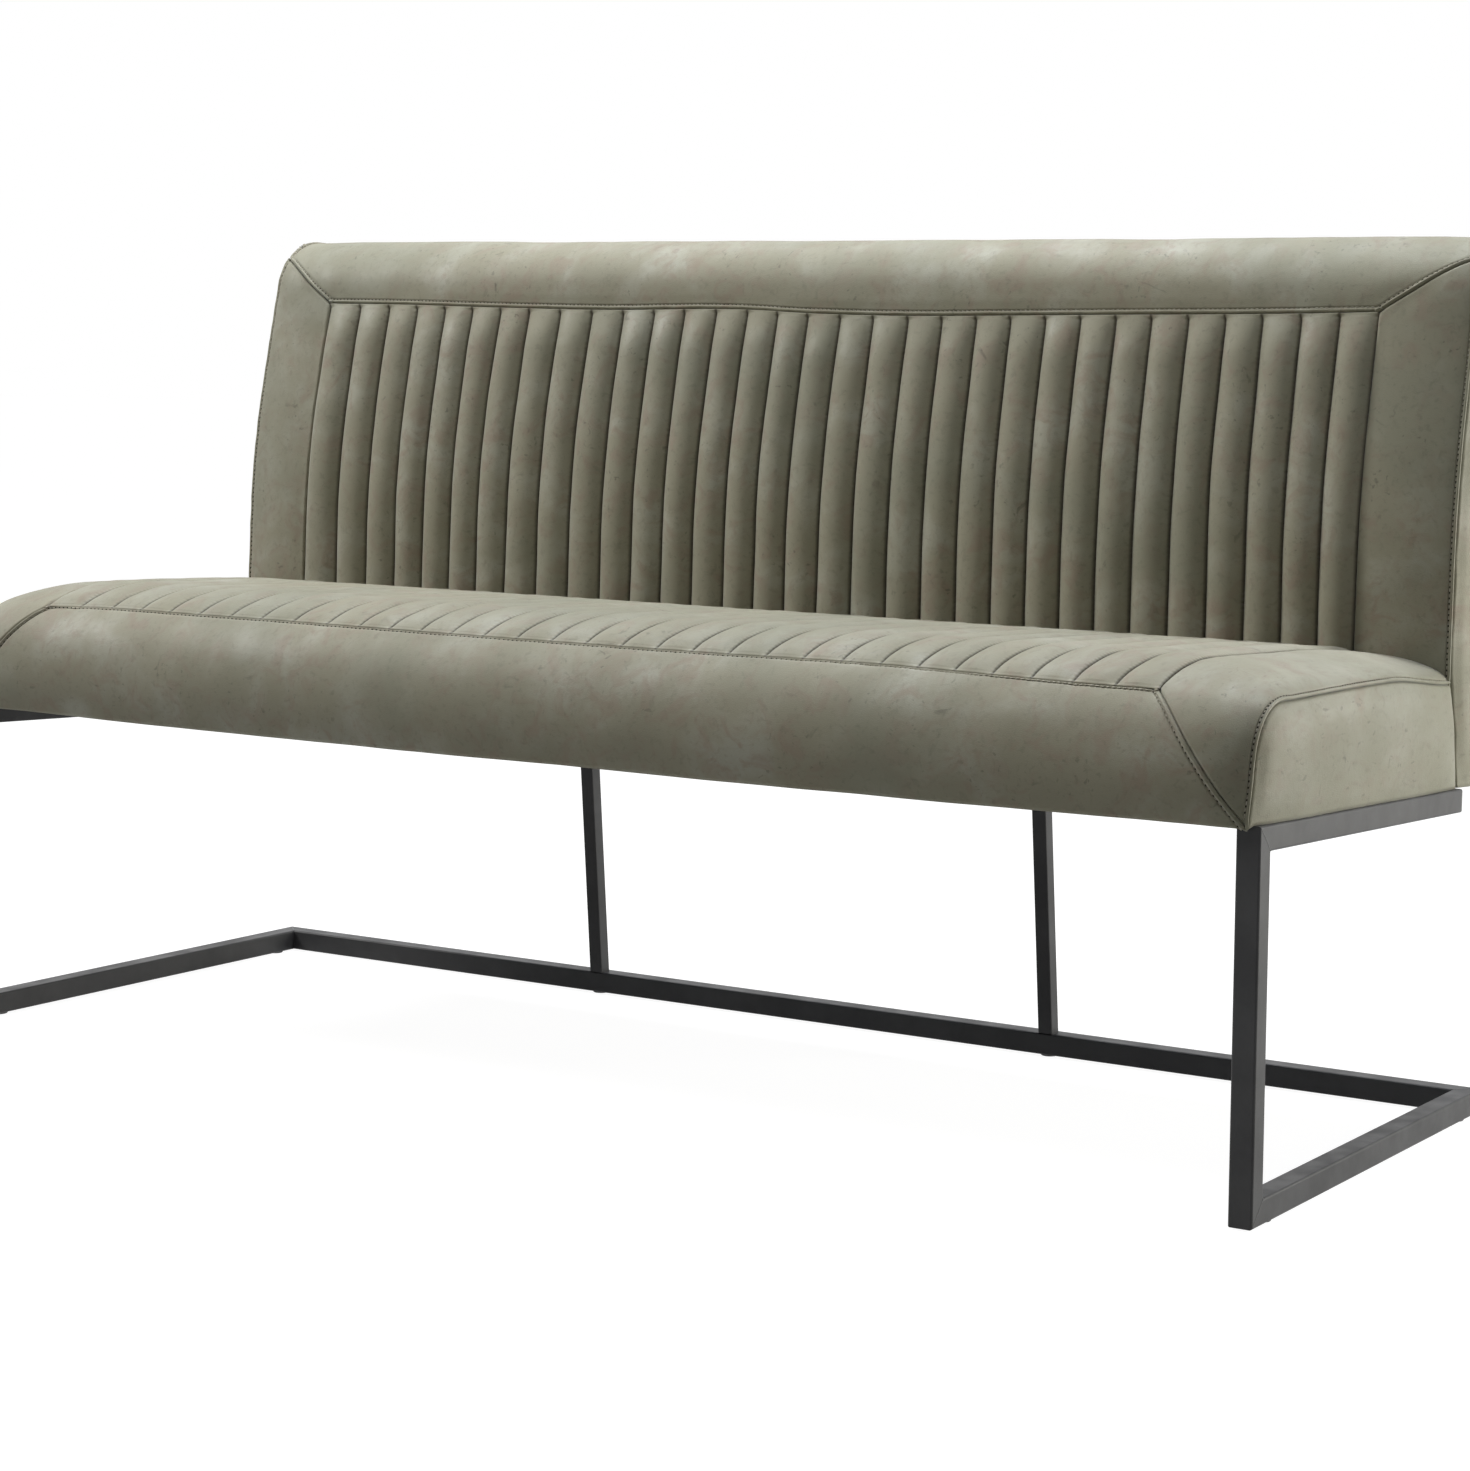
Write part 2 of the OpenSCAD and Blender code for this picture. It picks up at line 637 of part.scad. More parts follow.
// Columns of the front band as shares of its half width, closer where its ends round off
band_col_shares = [-1, -0.97, -0.94, -0.91, -0.88, 0, 0.88, 0.91, 0.94, 0.97, 1];
module seat_front_band() {
    rows = [0:seam_row];
    color(leather) placed() seated() grid_solid(
        [for (r = rows) [for (s = band_col_shares) seat_skin(r, band_x(r) * s)]],
        [for (r = rows) [for (s = band_col_shares) [band_x(r) * s, seat_inside[r].x, seat_inside[r].y]]]);
}

border_cols = 6;
function border_x(from, c) = mix(from, panel_x, c / border_cols);
module seat_border(side) {
    rows = [0:last_row];
    color(leather) placed() right_and_left(side) seated() grid_solid(
        [for (r = rows) [for (c = [0:border_cols]) seat_skin(r, border_x(band_x(r), c))]],
        [for (r = rows) [for (c = [0:border_cols]) [border_x(band_x(r), c), seat_inside[r].x,
            seat_inside[r].y]]]);
}

// A side panel: flat inside at panel_x, with its edge at seam_x and its middle swelling out.
// Each ring of points lies a share of the way from the outline to the panel's middle line.
// The flat faces are cut into the triangles given as indices of outline points.
ring_shares = [0, 0.18, 0.45];
swell_shares = [0, 0.7, 1];
function fan(n, hub, first, last) =
    [for (j = [first:last - 1]) let (a = (hub + j) % n, b = (hub + j + 1) % n) [hub, a, b]];
module side_panel_solid(inside, outline, middle, cuts) {
    n = len(outline);
    rings = len(ring_shares);
    points = concat([for (p = inside) [panel_x, p.x, p.y]],
        [for (k = [0:rings - 1], j = [0:n - 1]) let (p = mix(outline[j], middle[j], ring_shares[k]))
            [seam_x + side_swell * swell_shares[k], p.x, p.y]]);
    polyhedron(points, concat(
        [for (t = cuts) [t[2], t[1], t[0]]],
        [for (k = [0:rings - 1], j = [0:n - 1]) let (m = (j + 1) % n) each [
            [k * n + j, k * n + m, (k + 1) * n + m], [k * n + j, (k + 1) * n + m, (k + 1) * n + j]]],
        [for (t = cuts) [for (j = t) rings * n + j]]));
}

seat_middle_shares = [0.16, 0.84];
module seat_side_panel(side) {
    foot = [[seat_d - soft_gap, back_foot_h], [seat_d - soft_gap, soft_gap],
        [-lip_v, soft_gap], [-lip_v, -band_drop]];
    n = last_row + 2 + len(foot);
    rows = [0:last_row];
    outline = concat([for (r = rows) flat(seat_end[r])], [[back_v - soft_gap, back_foot_h]], foot);
    inside = concat([for (r = rows) flat(seat_skin_at(r))], [[back_v - soft_gap, back_foot_h]], foot);
    color(leather) placed() right_and_left(side) seated() side_panel_solid(inside, outline,
        [for (p = outline) [min(max(p.x, seat_d * seat_middle_shares[0]), seat_d * seat_middle_shares[1]),
            seam_h / 2]], fan(n, n - 2, 1, n - 1));
}
function seat_skin_at(r) = mix(seat_end[r], seat_mid[r], inside_share);

// Back frame: shaped posts that stand behind the seat's rear board, joined by a board and two rails
module post_section(foot_h) {
    polygon(concat(
        [[seat_d, foot_h], [seat_d, post_foot_h], [back_v + post_front, post_foot_h]],
        [for (p = frame_rows) if (p.y > post_foot_h + soft_gap) inset(p, post_front)],
        [for (i = [len(frame_rows) - 1:-1:0]) let (p = frame_rows[i])
            if (p.y > post_foot_h + soft_gap) inset(p, post_rear)],
        [[post_rear_v, foot_h]]));
}

// The rails are let in flush with the front of the posts. Their notches run out past the front
// and the ends, by over, so that they are open there.
lower_rail_h = (pillow_from_h + bend_h) / 2;
module rail_bar(over) {
    translate([-panel_x - over, -over, -rail_h / 2]) cube([2 * (panel_x + over), rail_t + over, rail_h]);
}

module lower_rail_bar(over = 0) {
    translate([0, back_v + post_front, lower_rail_h]) rail_bar(over);
}

module top_rail_bar(over = 0) {
    p = inset(frame_rows[field_row], post_front);
    translate([0, p.x, p.y]) rotate([-recline, 0, 0]) translate([0, 0, -post_top_drop]) rail_bar(over);
}

module post(x, w, foot_h) {
    translate([x, 0, 0]) rotate([90, 0, 90]) linear_extrude(w) post_section(foot_h);
}

module back_post(side) {
    color(timber) placed() difference() {
        right_and_left(side) seated() post(panel_x - side_board_t, side_board_t, dust_t);
        seated() lower_rail_bar(overrun);
        seated() top_rail_bar(overrun);
        back_bolt_places() {
            translate([0, 0, seat_d - overrun]) cylinder(d = bolt_d + hole_gap, h = post_rear_v - seat_d);
            translate([0, 0, post_rear_v - counterbore_l])
                cylinder(d = bolt_d * nut_flange_share, h = counterbore_l + overrun);
        }
    }
}

module back_inner_posts() {
    color(timber) placed() seated() difference() {
        for (s = cross_x_shares)
            post(inner_w * s - inner_post_t / 2, inner_post_t, dust_t + bottom_board_h);
        lower_rail_bar(overrun);
        top_rail_bar(overrun);
    }
}

module back_bottom_board() {
    color(timber) placed() seated() difference() {
        translate([-inner_w / 2, seat_d, dust_t]) cube([inner_w, post_rear_v - seat_d, bottom_board_h]);
        for (side = ["left", "right"]) right_and_left(side) screw_places()
            translate([0, 0, -overrun]) cylinder(d = screw_d + nut_gap, h = screw_l + overrun);
    }
}

module back_lower_rail() {
    color(timber) placed() seated() lower_rail_bar();
}

module back_top_rail() {
    color(timber) placed() seated() top_rail_bar();
}

module back_bolts() {
    head_v = post_rear_v - counterbore_l;
    color(zinc) placed() back_bolt_places() translate([0, 0, head_v]) mirror([0, 0, 1])
        hex_bolt(head_v - seat_d + board_t - nut_flange_t);
}

module back_tee_nuts() {
    color(zinc) placed() back_bolt_places() translate([0, 0, seat_d - board_t]) mirror([0, 0, 1]) tee_nut();
}

module back_curved_panel() {
    color(timber) placed() seated() across(concat(
        [for (p = frame_rows) inset(p, panel_front)],
        [for (i = [len(frame_rows) - 1:-1:0]) inset(frame_rows[i], post_front)]));
}

// Foam: in front of the curved panel and over the tops of the posts
module back_foam() {
    last = frame_rows[field_row];
    color(foam) placed() seated() across(concat(
        back_inside,
        [inset(last, post_rear), inset(last, panel_front)],
        [for (i = [field_row - 1:-1:0]) inset(frame_rows[i], panel_front)]));
}

module back_rear_cover() {
    color(leather) placed() seated() across(concat(
        [[back_v + back_t, dust_t], [post_rear_v, dust_t]],
        [for (p = frame_rows) inset(p, post_rear)],
        [inset(back_front[back_last], pad_t), flat(back_front[back_last])],
        [for (i = [field_row:-1:0]) rear_of(frame_rows[i])]));
}

module back_channel_panel() {
    rows = [0:field_row];
    color(leather) placed() seated() channel_solid(
        [for (r = rows) let (p = back_skin(r, 0), a = back_front[r].z,
            full = r < 2 || r == field_row ? 0 : back_pillow)
            [for (c = [0:channel_cols]) let (q = inset([p.y, p.z, a], -full * pillow_share(c)))
                [channel_x(c), q.x, q.y]]],
        [for (r = rows) back_inside[r]]);
}

module back_top_border() {
    rows = [field_row:back_last];
    color(leather) placed() seated() grid_solid(
        [for (r = rows) [for (s = band_col_shares) back_skin(r, top_x(r) * s)]],
        [for (r = rows) [for (s = band_col_shares) [top_x(r) * s, back_inside[r].x, back_inside[r].y]]]);
}

module back_border(side) {
    rows = [0:mitre_row];
    color(leather) placed() right_and_left(side) seated() grid_solid(
        [for (r = rows) [for (c = [0:border_cols]) back_skin(r, border_x(top_x(r), c))]],
        [for (r = rows) [for (c = [0:border_cols]) [border_x(top_x(r), c), back_inside[r].x,
            back_inside[r].y]]]);
}

module back_side_panel(side) {
    foot = [[back_v + back_t, soft_gap], [seat_d + soft_gap, soft_gap],
        [seat_d + soft_gap, back_foot_h]];
    rear = [for (i = [field_row:-1:0]) rear_of(frame_rows[i])];
    middle_top = inset(back_front[field_row], back_t / 2);
    outline = concat([for (r = [0:back_last]) flat(back_front[r])], rear, foot);
    inside = concat([for (r = [0:back_last]) let (p = back_skin(r, panel_x)) [p.y, p.z]], rear, foot);
    middle = concat(
        [for (r = [0:back_last]) r <= field_row ? inset(back_front[r], back_t / 2) : middle_top],
        [for (i = [field_row:-1:0]) inset(back_front[i], back_t / 2)],
        [for (p = foot) [back_v + back_t / 2, back_foot_h]]);
    n = len(outline);
    cuts = concat(fan(n, field_row, 1, n - 4 - field_row), [[field_row, n - 4, n - 1]],
        fan(n, field_row, n - 1 - field_row, n - 1), [[n - 4, n - 3, n - 2], [n - 4, n - 2, n - 1]]);
    color(leather) placed() right_and_left(side) seated()
        side_panel_solid(inside, outline, middle, cuts);
}

front_leg("left");  // left_front_leg
front_leg("right");  // right_front_leg
base_rail("left");  // left_base_rail
base_rail("right");  // right_base_rail
rear_base_rail();
seat_rail("left");  // left_seat_rail
seat_rail("right");  // right_seat_rail
rear_strut("left");  // left_rear_strut
rear_strut("right");  // right_rear_strut
strut_plate("left");  // left_strut_plate
strut_plate("right");  // right_strut_plate
seat_rail_lugs();
rail_end_caps();
floor_glides();
seat_bolts();
seat_washers();
tee_nuts();
plate_screws();
back_bolts();
back_tee_nuts();
seat_front_board();
seat_rear_board();
seat_side_board("left");  // seat_left_board
seat_side_board("right");  // seat_right_board
seat_cross_boards();
seat_webs_front_to_back();
seat_webs_side_to_side();
seat_foam();
seat_dust_cover();
seat_channel_panel();
seat_front_band();
seat_border("left");  // seat_left_border
seat_border("right");  // seat_right_border
seat_side_panel("left");  // seat_left_side_panel
seat_side_panel("right");  // seat_right_side_panel
back_post("left");  // back_left_post
back_post("right");  // back_right_post
back_inner_posts();
back_bottom_board();
back_lower_rail();
back_top_rail();
back_curved_panel();
back_foam();
back_rear_cover();
back_channel_panel();
back_top_border();
back_border("left");  // back_left_border
back_border("right");  // back_right_border
back_side_panel("left");  // back_left_side_panel
back_side_panel("right");  // back_right_side_panel
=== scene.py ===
import math

import bpy
import bmesh
import numpy as np
from mathutils import Matrix, Vector, kdtree, noise


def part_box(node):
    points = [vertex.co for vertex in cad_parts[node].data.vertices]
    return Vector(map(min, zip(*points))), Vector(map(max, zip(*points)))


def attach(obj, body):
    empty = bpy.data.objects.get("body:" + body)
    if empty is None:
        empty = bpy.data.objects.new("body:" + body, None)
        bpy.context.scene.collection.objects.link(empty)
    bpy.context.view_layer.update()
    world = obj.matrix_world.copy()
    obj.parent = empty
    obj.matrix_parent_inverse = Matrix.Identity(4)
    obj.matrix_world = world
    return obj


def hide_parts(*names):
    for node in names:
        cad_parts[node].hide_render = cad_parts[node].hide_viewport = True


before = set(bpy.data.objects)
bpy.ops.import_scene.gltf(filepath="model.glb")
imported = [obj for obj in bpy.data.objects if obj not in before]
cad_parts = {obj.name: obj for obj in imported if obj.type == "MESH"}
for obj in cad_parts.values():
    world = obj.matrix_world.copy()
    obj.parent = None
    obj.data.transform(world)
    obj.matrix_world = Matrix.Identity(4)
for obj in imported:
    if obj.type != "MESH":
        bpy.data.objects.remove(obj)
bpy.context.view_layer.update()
scene = bpy.context.scene

# The viewpoint: a long lens at standing eye height, to the right of the sofa and in front of it,
# so that the far end and the right rear of the frame run out of the picture.
camera_place = (2.0825, -3.1833, 0.8162)
camera_turn = math.radians(32.587)
camera_dip = math.radians(-2.874)
camera_roll = math.radians(0.841)
camera_lens_mm = 82.2
camera_rise = -0.150


def added(name, data):
    """A new object in the scene."""
    obj = bpy.data.objects.new(name, data)
    scene.collection.objects.link(obj)
    return obj


sight = Vector((-math.sin(camera_turn) * math.cos(camera_dip),
                math.cos(camera_turn) * math.cos(camera_dip), math.sin(camera_dip)))
level = Vector((math.cos(camera_turn), math.sin(camera_turn), 0))
upright = level.cross(sight)
side_axis = level * math.cos(camera_roll) + upright * math.sin(camera_roll)
up_axis = upright * math.cos(camera_roll) - level * math.sin(camera_roll)
camera_data = bpy.data.cameras.new("view")
camera_data.lens = camera_lens_mm
camera_data.sensor_width = 36
camera_data.shift_y = camera_rise
camera = added("view", camera_data)
camera.matrix_world = Matrix.Translation(camera_place) @ Matrix(
    (side_axis, up_axis, -sight)).transposed().to_4x4()
scene.camera = camera
scene.view_settings.view_transform = "Standard"


# The room: white paper underfoot and white all round. What the camera and the gloss see is white;
# what lights the sofa is a dim even sky, and the paper keeps a faint shadow.
sky_light = 0.008
paper_size = 60.0
paper_lit_share = 0.22
paper_glow, paper_far = 0.955, (1.5, 3.5)


def node_of(tree, kind, wires=None, **values):
    """A node with these settings and values. wires names what goes into its inputs: an output, or a
    node for its first one."""
    node = tree.nodes.new(kind)
    for key, value in values.items():
        if key in node.inputs:
            node.inputs[key].default_value = value
        else:
            setattr(node, key, value)
    for key, source in (wires or {}).items():
        tree.links.new(getattr(source, "outputs", [source])[0], node.inputs[key])
    return node


def math_of(operation, *terms):
    """An operation on outputs and numbers, an output first."""
    node = node_of(terms[0].id_data, "ShaderNodeMath", operation=operation)
    for entry, term in zip(node.inputs, terms):
        if isinstance(term, (int, float)):
            entry.default_value = term
        else:
            node.id_data.links.new(term, entry)
    return node.outputs[0]


def object_space(tree):
    return node_of(tree, "ShaderNodeTexCoord").outputs["Object"]


def shown(tree, lit, seen, out_kind):
    """seen where the camera, a gloss or glass looks at the surface, lit where it only lights others."""
    path = node_of(tree, "ShaderNodeLightPath")
    plainly = path.outputs["Is Camera Ray"]
    for ray in ("Is Glossy Ray", "Is Transmission Ray"):
        plainly = math_of("MAXIMUM", plainly, path.outputs[ray])
    choice = node_of(tree, "ShaderNodeMixShader", {0: plainly, 1: lit, 2: seen})
    node_of(tree, out_kind, {0: choice})


world = bpy.data.worlds.new("room")
scene.world = world
world.use_nodes = True
tree = world.node_tree
tree.nodes.clear()
sky = node_of(tree, "ShaderNodeBackground", Color=(1.0, 0.995, 0.98, 1), Strength=sky_light)
backdrop = node_of(tree, "ShaderNodeBackground", Color=(1, 1, 1, 1), Strength=1.0)
shown(tree, sky, backdrop, "ShaderNodeOutputWorld")

paper = bpy.data.materials.new("white_paper")
paper.use_nodes = True
tree = paper.node_tree
tree.nodes.clear()
matt = node_of(tree, "ShaderNodeBsdfDiffuse", Color=(0.42, 0.42, 0.41, 1))
faint = node_of(tree, "ShaderNodeBsdfDiffuse", Color=(paper_lit_share,) * 3 + (1,))
away = node_of(tree, "ShaderNodeVectorMath", {0: object_space(tree)}, operation="LENGTH")
reach = node_of(tree, "ShaderNodeMapRange", {"Value": away.outputs["Value"]}, **{
    "From Min": paper_far[0], "From Max": paper_far[1], "To Min": paper_glow, "To Max": 1.0})
glow = node_of(tree, "ShaderNodeEmission", {"Strength": reach})
both = node_of(tree, "ShaderNodeAddShader", {0: faint, 1: glow})
shown(tree, matt, both, "ShaderNodeOutputMaterial")
floor_mesh = bpy.data.meshes.new("floor")
half = paper_size / 2
floor_mesh.from_pydata([(-half, -half, 0), (half, -half, 0), (half, half, 0), (-half, half, 0)],
                       [], [(0, 1, 2, 3)])
floor_mesh.materials.append(paper)
floor = added("floor", floor_mesh)


# The lamps: the main one is far off on the left, high and in front, and rakes across the channels. A
# wide one overhead lights the seat, a strip above the rear the top, a low one at the right rear the end.
def lamp(name, place, aim, size, watts, colour):
    data = bpy.data.lights.new(name, "AREA")
    data.shape = "RECTANGLE"
    data.size, data.size_y = size
    data.energy = watts
    data.color = colour
    obj = added(name, data)
    obj.location = place
    obj.rotation_euler = (Vector(aim) - Vector(place)).to_track_quat("-Z", "Y").to_euler()


lamp("key_lamp", (-4.0, -1.6, 3.8), (0, 0, 0.6), (1.3, 1.3), 182, (1.0, 0.985, 0.955))
lamp("top_lamp", (0, -0.5, 3.1), (0, 0, 0.6), (4.0, 1.6), 43, (0.93, 0.965, 1.0))
lamp("rear_lamp", (0, 0.9, 3.0), (0, 0, 0.5), (3.2, 0.5), 72, (0.93, 0.965, 1.0))
lamp("end_lamp", (2.8, 1.7, 0.7), (0, 0, 0.35), (1.0, 1.2), 70, (1.0, 0.98, 0.90))


# Steel frame: square tube, mitred and welded, blasted and coated in a satin dark grey.
# The coating has a fine orange-peel skin and is a little uneven in sheen.
def new_material(name, colour, roughness, specular=0.5, metallic=0.0):
    mat = bpy.data.materials.new(name)
    mat.use_nodes = True
    bsdf = mat.node_tree.nodes["Principled BSDF"]
    for label, value in (("Base Color", (*colour, 1)), ("Roughness", roughness), ("Metallic", metallic),
                         ("Specular IOR Level", specular)):
        bsdf.inputs[label].default_value = value
    return mat, bsdf, object_space(mat.node_tree)


def wire(bsdf, label, source):
    bsdf.id_data.links.new(source, bsdf.inputs[label])


def mapped(where, scale, rotation=(0, 0, 0)):
    return node_of(where.id_data, "ShaderNodeMapping", {"Vector": where}, Scale=scale,
                   Rotation=rotation).outputs["Vector"]


def noise_of(where, scale, detail=2.0, roughness=0.5, distortion=0.0):
    return node_of(where.id_data, "ShaderNodeTexNoise", {"Vector": where}, Scale=scale, Detail=detail,
                   Roughness=roughness, Distortion=distortion).outputs["Fac"]


def ramp_of(source, low, high, a=0.0, b=1.0):
    """source mapped from low..high to a..b, smoothly and clamped."""
    return node_of(source.id_data, "ShaderNodeMapRange", {"Value": source}, interpolation_type="SMOOTHSTEP",
                   **{"From Min": low, "From Max": high, "To Min": a, "To Max": b}).outputs["Result"]


def tint(below, colour, amount):
    """colour laid over a colour or a colour output by amount, an output."""
    n = node_of(amount.id_data, "ShaderNodeMix", {0: amount}, data_type="RGBA")
    if isinstance(below, tuple):
        n.inputs[6].default_value = (*below, 1)
    else:
        n.id_data.links.new(below, n.inputs[6])
    n.inputs[7].default_value = (*colour, 1)
    return n.outputs[2]


def uneven(bsdf, colour, other, amount):
    """Base colour between two colours."""
    wire(bsdf, "Base Color", tint(colour, other, amount))


def worn(bsdf, source, low, high):
    """Roughness from low to high by a noise."""
    wire(bsdf, "Roughness", ramp_of(source, 0.3, 0.7, low, high))


def relief(bsdf, height, depth_m, strength=1.0):
    bump = node_of(bsdf.id_data, "ShaderNodeBump", {"Height": height}, Distance=depth_m, Strength=strength)
    wire(bsdf, "Normal", bump.outputs["Normal"])


coated_steel, bsdf, where = new_material("coated_steel", (0.06, 0.06, 0.062), 0.40, 0.16)
patches = noise_of(where, 9.0, 4.0, 0.6)
uneven(bsdf, (0.050, 0.050, 0.052), (0.072, 0.072, 0.074), ramp_of(patches, 0.35, 0.7))
worn(bsdf, noise_of(where, 26.0, 3.0), 0.36, 0.5)
relief(bsdf, noise_of(where, 900.0), 0.00006)


def dress(material, *nodes):
    """Gives CAD nodes this material."""
    for node in nodes:
        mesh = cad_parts[node].data
        mesh.materials.clear()
        mesh.materials.append(material)


dress(coated_steel, "rear_base_rail", "seat_rail_lugs", *(
    f"{side}_{piece}" for side in ("left", "right")
    for piece in ("front_leg", "base_rail", "seat_rail", "rear_strut", "strut_plate")))

# The welds of the mitred corners are ground nearly flush and show as fine lines in the coating. Their beads
# are real relief, coloured lighter than the steel as a painted highlight for the light that the lines catch.
weld_w, weld_rise, weld_sunk = 0.0012, 0.00025, 0.0003
weld_from, weld_to, leg_mitre_drop = 0.1, 0.98, 1.037
highlit_weld, bsdf, where = new_material("highlit_weld", (0.13, 0.13, 0.133), 0.36, 0.2)
relief(bsdf, noise_of(where, 700.0), 0.0001)


def weld_bead(mesh, a, b, out):
    """A flat bead from a to b on a face that looks out."""
    side = (b - a).cross(out).normalized() * weld_w / 2
    ring = (-side - out * weld_sunk, -side * 0.5 + out * weld_rise,
            side * 0.5 + out * weld_rise, side - out * weld_sunk)
    rows = [[mesh.verts.new(end + off) for off in ring] for end in (a, b)]
    for k in range(4):
        mesh.faces.new((rows[0][k - 1], rows[0][k], rows[1][k], rows[1][k - 1]))
    for row in rows:
        mesh.faces.new(row)


leg_low, leg_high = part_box("right_front_leg")
_, base_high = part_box("rear_base_rail")
tube = leg_high.x - leg_low.x
beads = bmesh.new()
for sign in (1, -1):
    for x, way in ((leg_high.x, sign), (leg_low.x, -sign)):
        for corner_z, inner_z in ((leg_high.z, leg_high.z - leg_mitre_drop * tube),
                                  (leg_low.z, leg_low.z + tube)):
            outer = Vector((sign * x, leg_low.y, corner_z))
            inner = Vector((sign * x, leg_low.y + tube, inner_z))
            weld_bead(beads, outer.lerp(inner, weld_from), outer.lerp(inner, weld_to), Vector((way, 0, 0)))
    outer = Vector((sign * leg_high.x, base_high.y, base_high.z))
    inner = Vector((sign * leg_low.x, base_high.y - tube, base_high.z))
    weld_bead(beads, outer.lerp(inner, weld_from), outer.lerp(inner, weld_to), Vector((0, 0, 1)))
bmesh.ops.recalc_face_normals(beads, faces=beads.faces)
weld_mesh = bpy.data.meshes.new("frame_welds")
beads.to_mesh(weld_mesh)
beads.free()
weld_mesh.materials.append(highlit_weld)
welds = added("frame_welds", weld_mesh)
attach(welds, "root")


# Fasteners: bright zinc-plated steel. Bolts with washers hold the seat boards to the lugs of the rails
# by tee nuts, others tie the back posts to the seat boards, and screws hold the plates of the struts.
zinc_plate, bsdf, where = new_material("zinc_plate", (0.62, 0.63, 0.64), 0.34, metallic=1.0)
worn(bsdf, noise_of(where, 160.0, 3.0), 0.26, 0.46)
relief(bsdf, noise_of(where, 1400.0, 1.0), 0.00004)
dress(zinc_plate, "seat_bolts", "seat_washers", "tee_nuts", "plate_screws", "back_bolts", "back_tee_nuts")


# End caps and glides: black moulded plastic with a fine spark-eroded texture. The caps close the open
# ends of the seat rails, and the glides sit under the base rails.
black_plastic, bsdf, where = new_material("black_plastic", (0.02, 0.02, 0.021), 0.55)
worn(bsdf, noise_of(where, 40.0), 0.5, 0.64)
relief(bsdf, noise_of(where, 2200.0, 1.0), 0.00005)
dress(black_plastic, "rail_end_caps", "floor_glides")


# Seat and back frames: planed hardwood boards and a bent panel, closed in by the upholstery.
# The grain runs the same way in every piece, along the width of the sofa.
planed_wood, bsdf, where = new_material("planed_wood", (0.62, 0.46, 0.29), 0.6)
grain = noise_of(mapped(where, (3.0, 40.0, 40.0)), 2.0, 5.0, 0.6, 0.4)
uneven(bsdf, (0.66, 0.50, 0.32), (0.42, 0.28, 0.16), ramp_of(grain, 0.45, 0.75))
relief(bsdf, grain, 0.0002)
dress(planed_wood, "seat_front_board", "seat_rear_board", "seat_left_board", "seat_right_board",
      "seat_cross_boards", "back_left_post", "back_right_post", "back_inner_posts",
      "back_bottom_board", "back_lower_rail", "back_top_rail", "back_curved_panel")


# Webbing, foam and dust cover: elastic webs under blocks of cut foam, and a black non-woven cloth
# stapled to the underside of the seat boards.
webbing, bsdf, where = new_material("webbing", (0.05, 0.05, 0.05), 0.85)
weave = node_of(where.id_data, "ShaderNodeTexWave", {"Vector": where}, Scale=260.0).outputs["Fac"]
uneven(bsdf, (0.035, 0.035, 0.035), (0.11, 0.1, 0.09), weave)
relief(bsdf, weave, 0.0004)
dress(webbing, "seat_webs_front_to_back", "seat_webs_side_to_side")

cut_foam, bsdf, where = new_material("cut_foam", (0.82, 0.76, 0.56), 0.95, 0.2)
cells = noise_of(where, 700.0, 3.0)
uneven(bsdf, (0.84, 0.79, 0.6), (0.66, 0.58, 0.38), ramp_of(cells, 0.4, 0.8))
relief(bsdf, cells, 0.0006)
dress(cut_foam, "seat_foam", "back_foam")

dust_cloth, bsdf, where = new_material("dust_cloth", (0.02, 0.02, 0.022), 0.95, 0.2)
fibres = noise_of(where, 420.0, 4.0, 0.7, 1.5)
uneven(bsdf, (0.014, 0.014, 0.016), (0.05, 0.05, 0.052), ramp_of(fibres, 0.4, 0.75))
relief(bsdf, fibres, 0.0002)
dress(dust_cloth, "seat_dust_cover")


# Leather: a matt waxed hide in olive taupe. It is mottled in brown and grey-green, has small dark
# specks and scuffs, a fine grain, and a soft nap that lightens where it turns away.
leather_mid = (0.256, 0.241, 0.172)
leather_light = (0.345, 0.338, 0.272)
leather_brown = (0.244, 0.196, 0.144)
leather_green = (0.214, 0.212, 0.152)
leather_dark = (0.088, 0.076, 0.052)
pucker_pitch = 0.0062


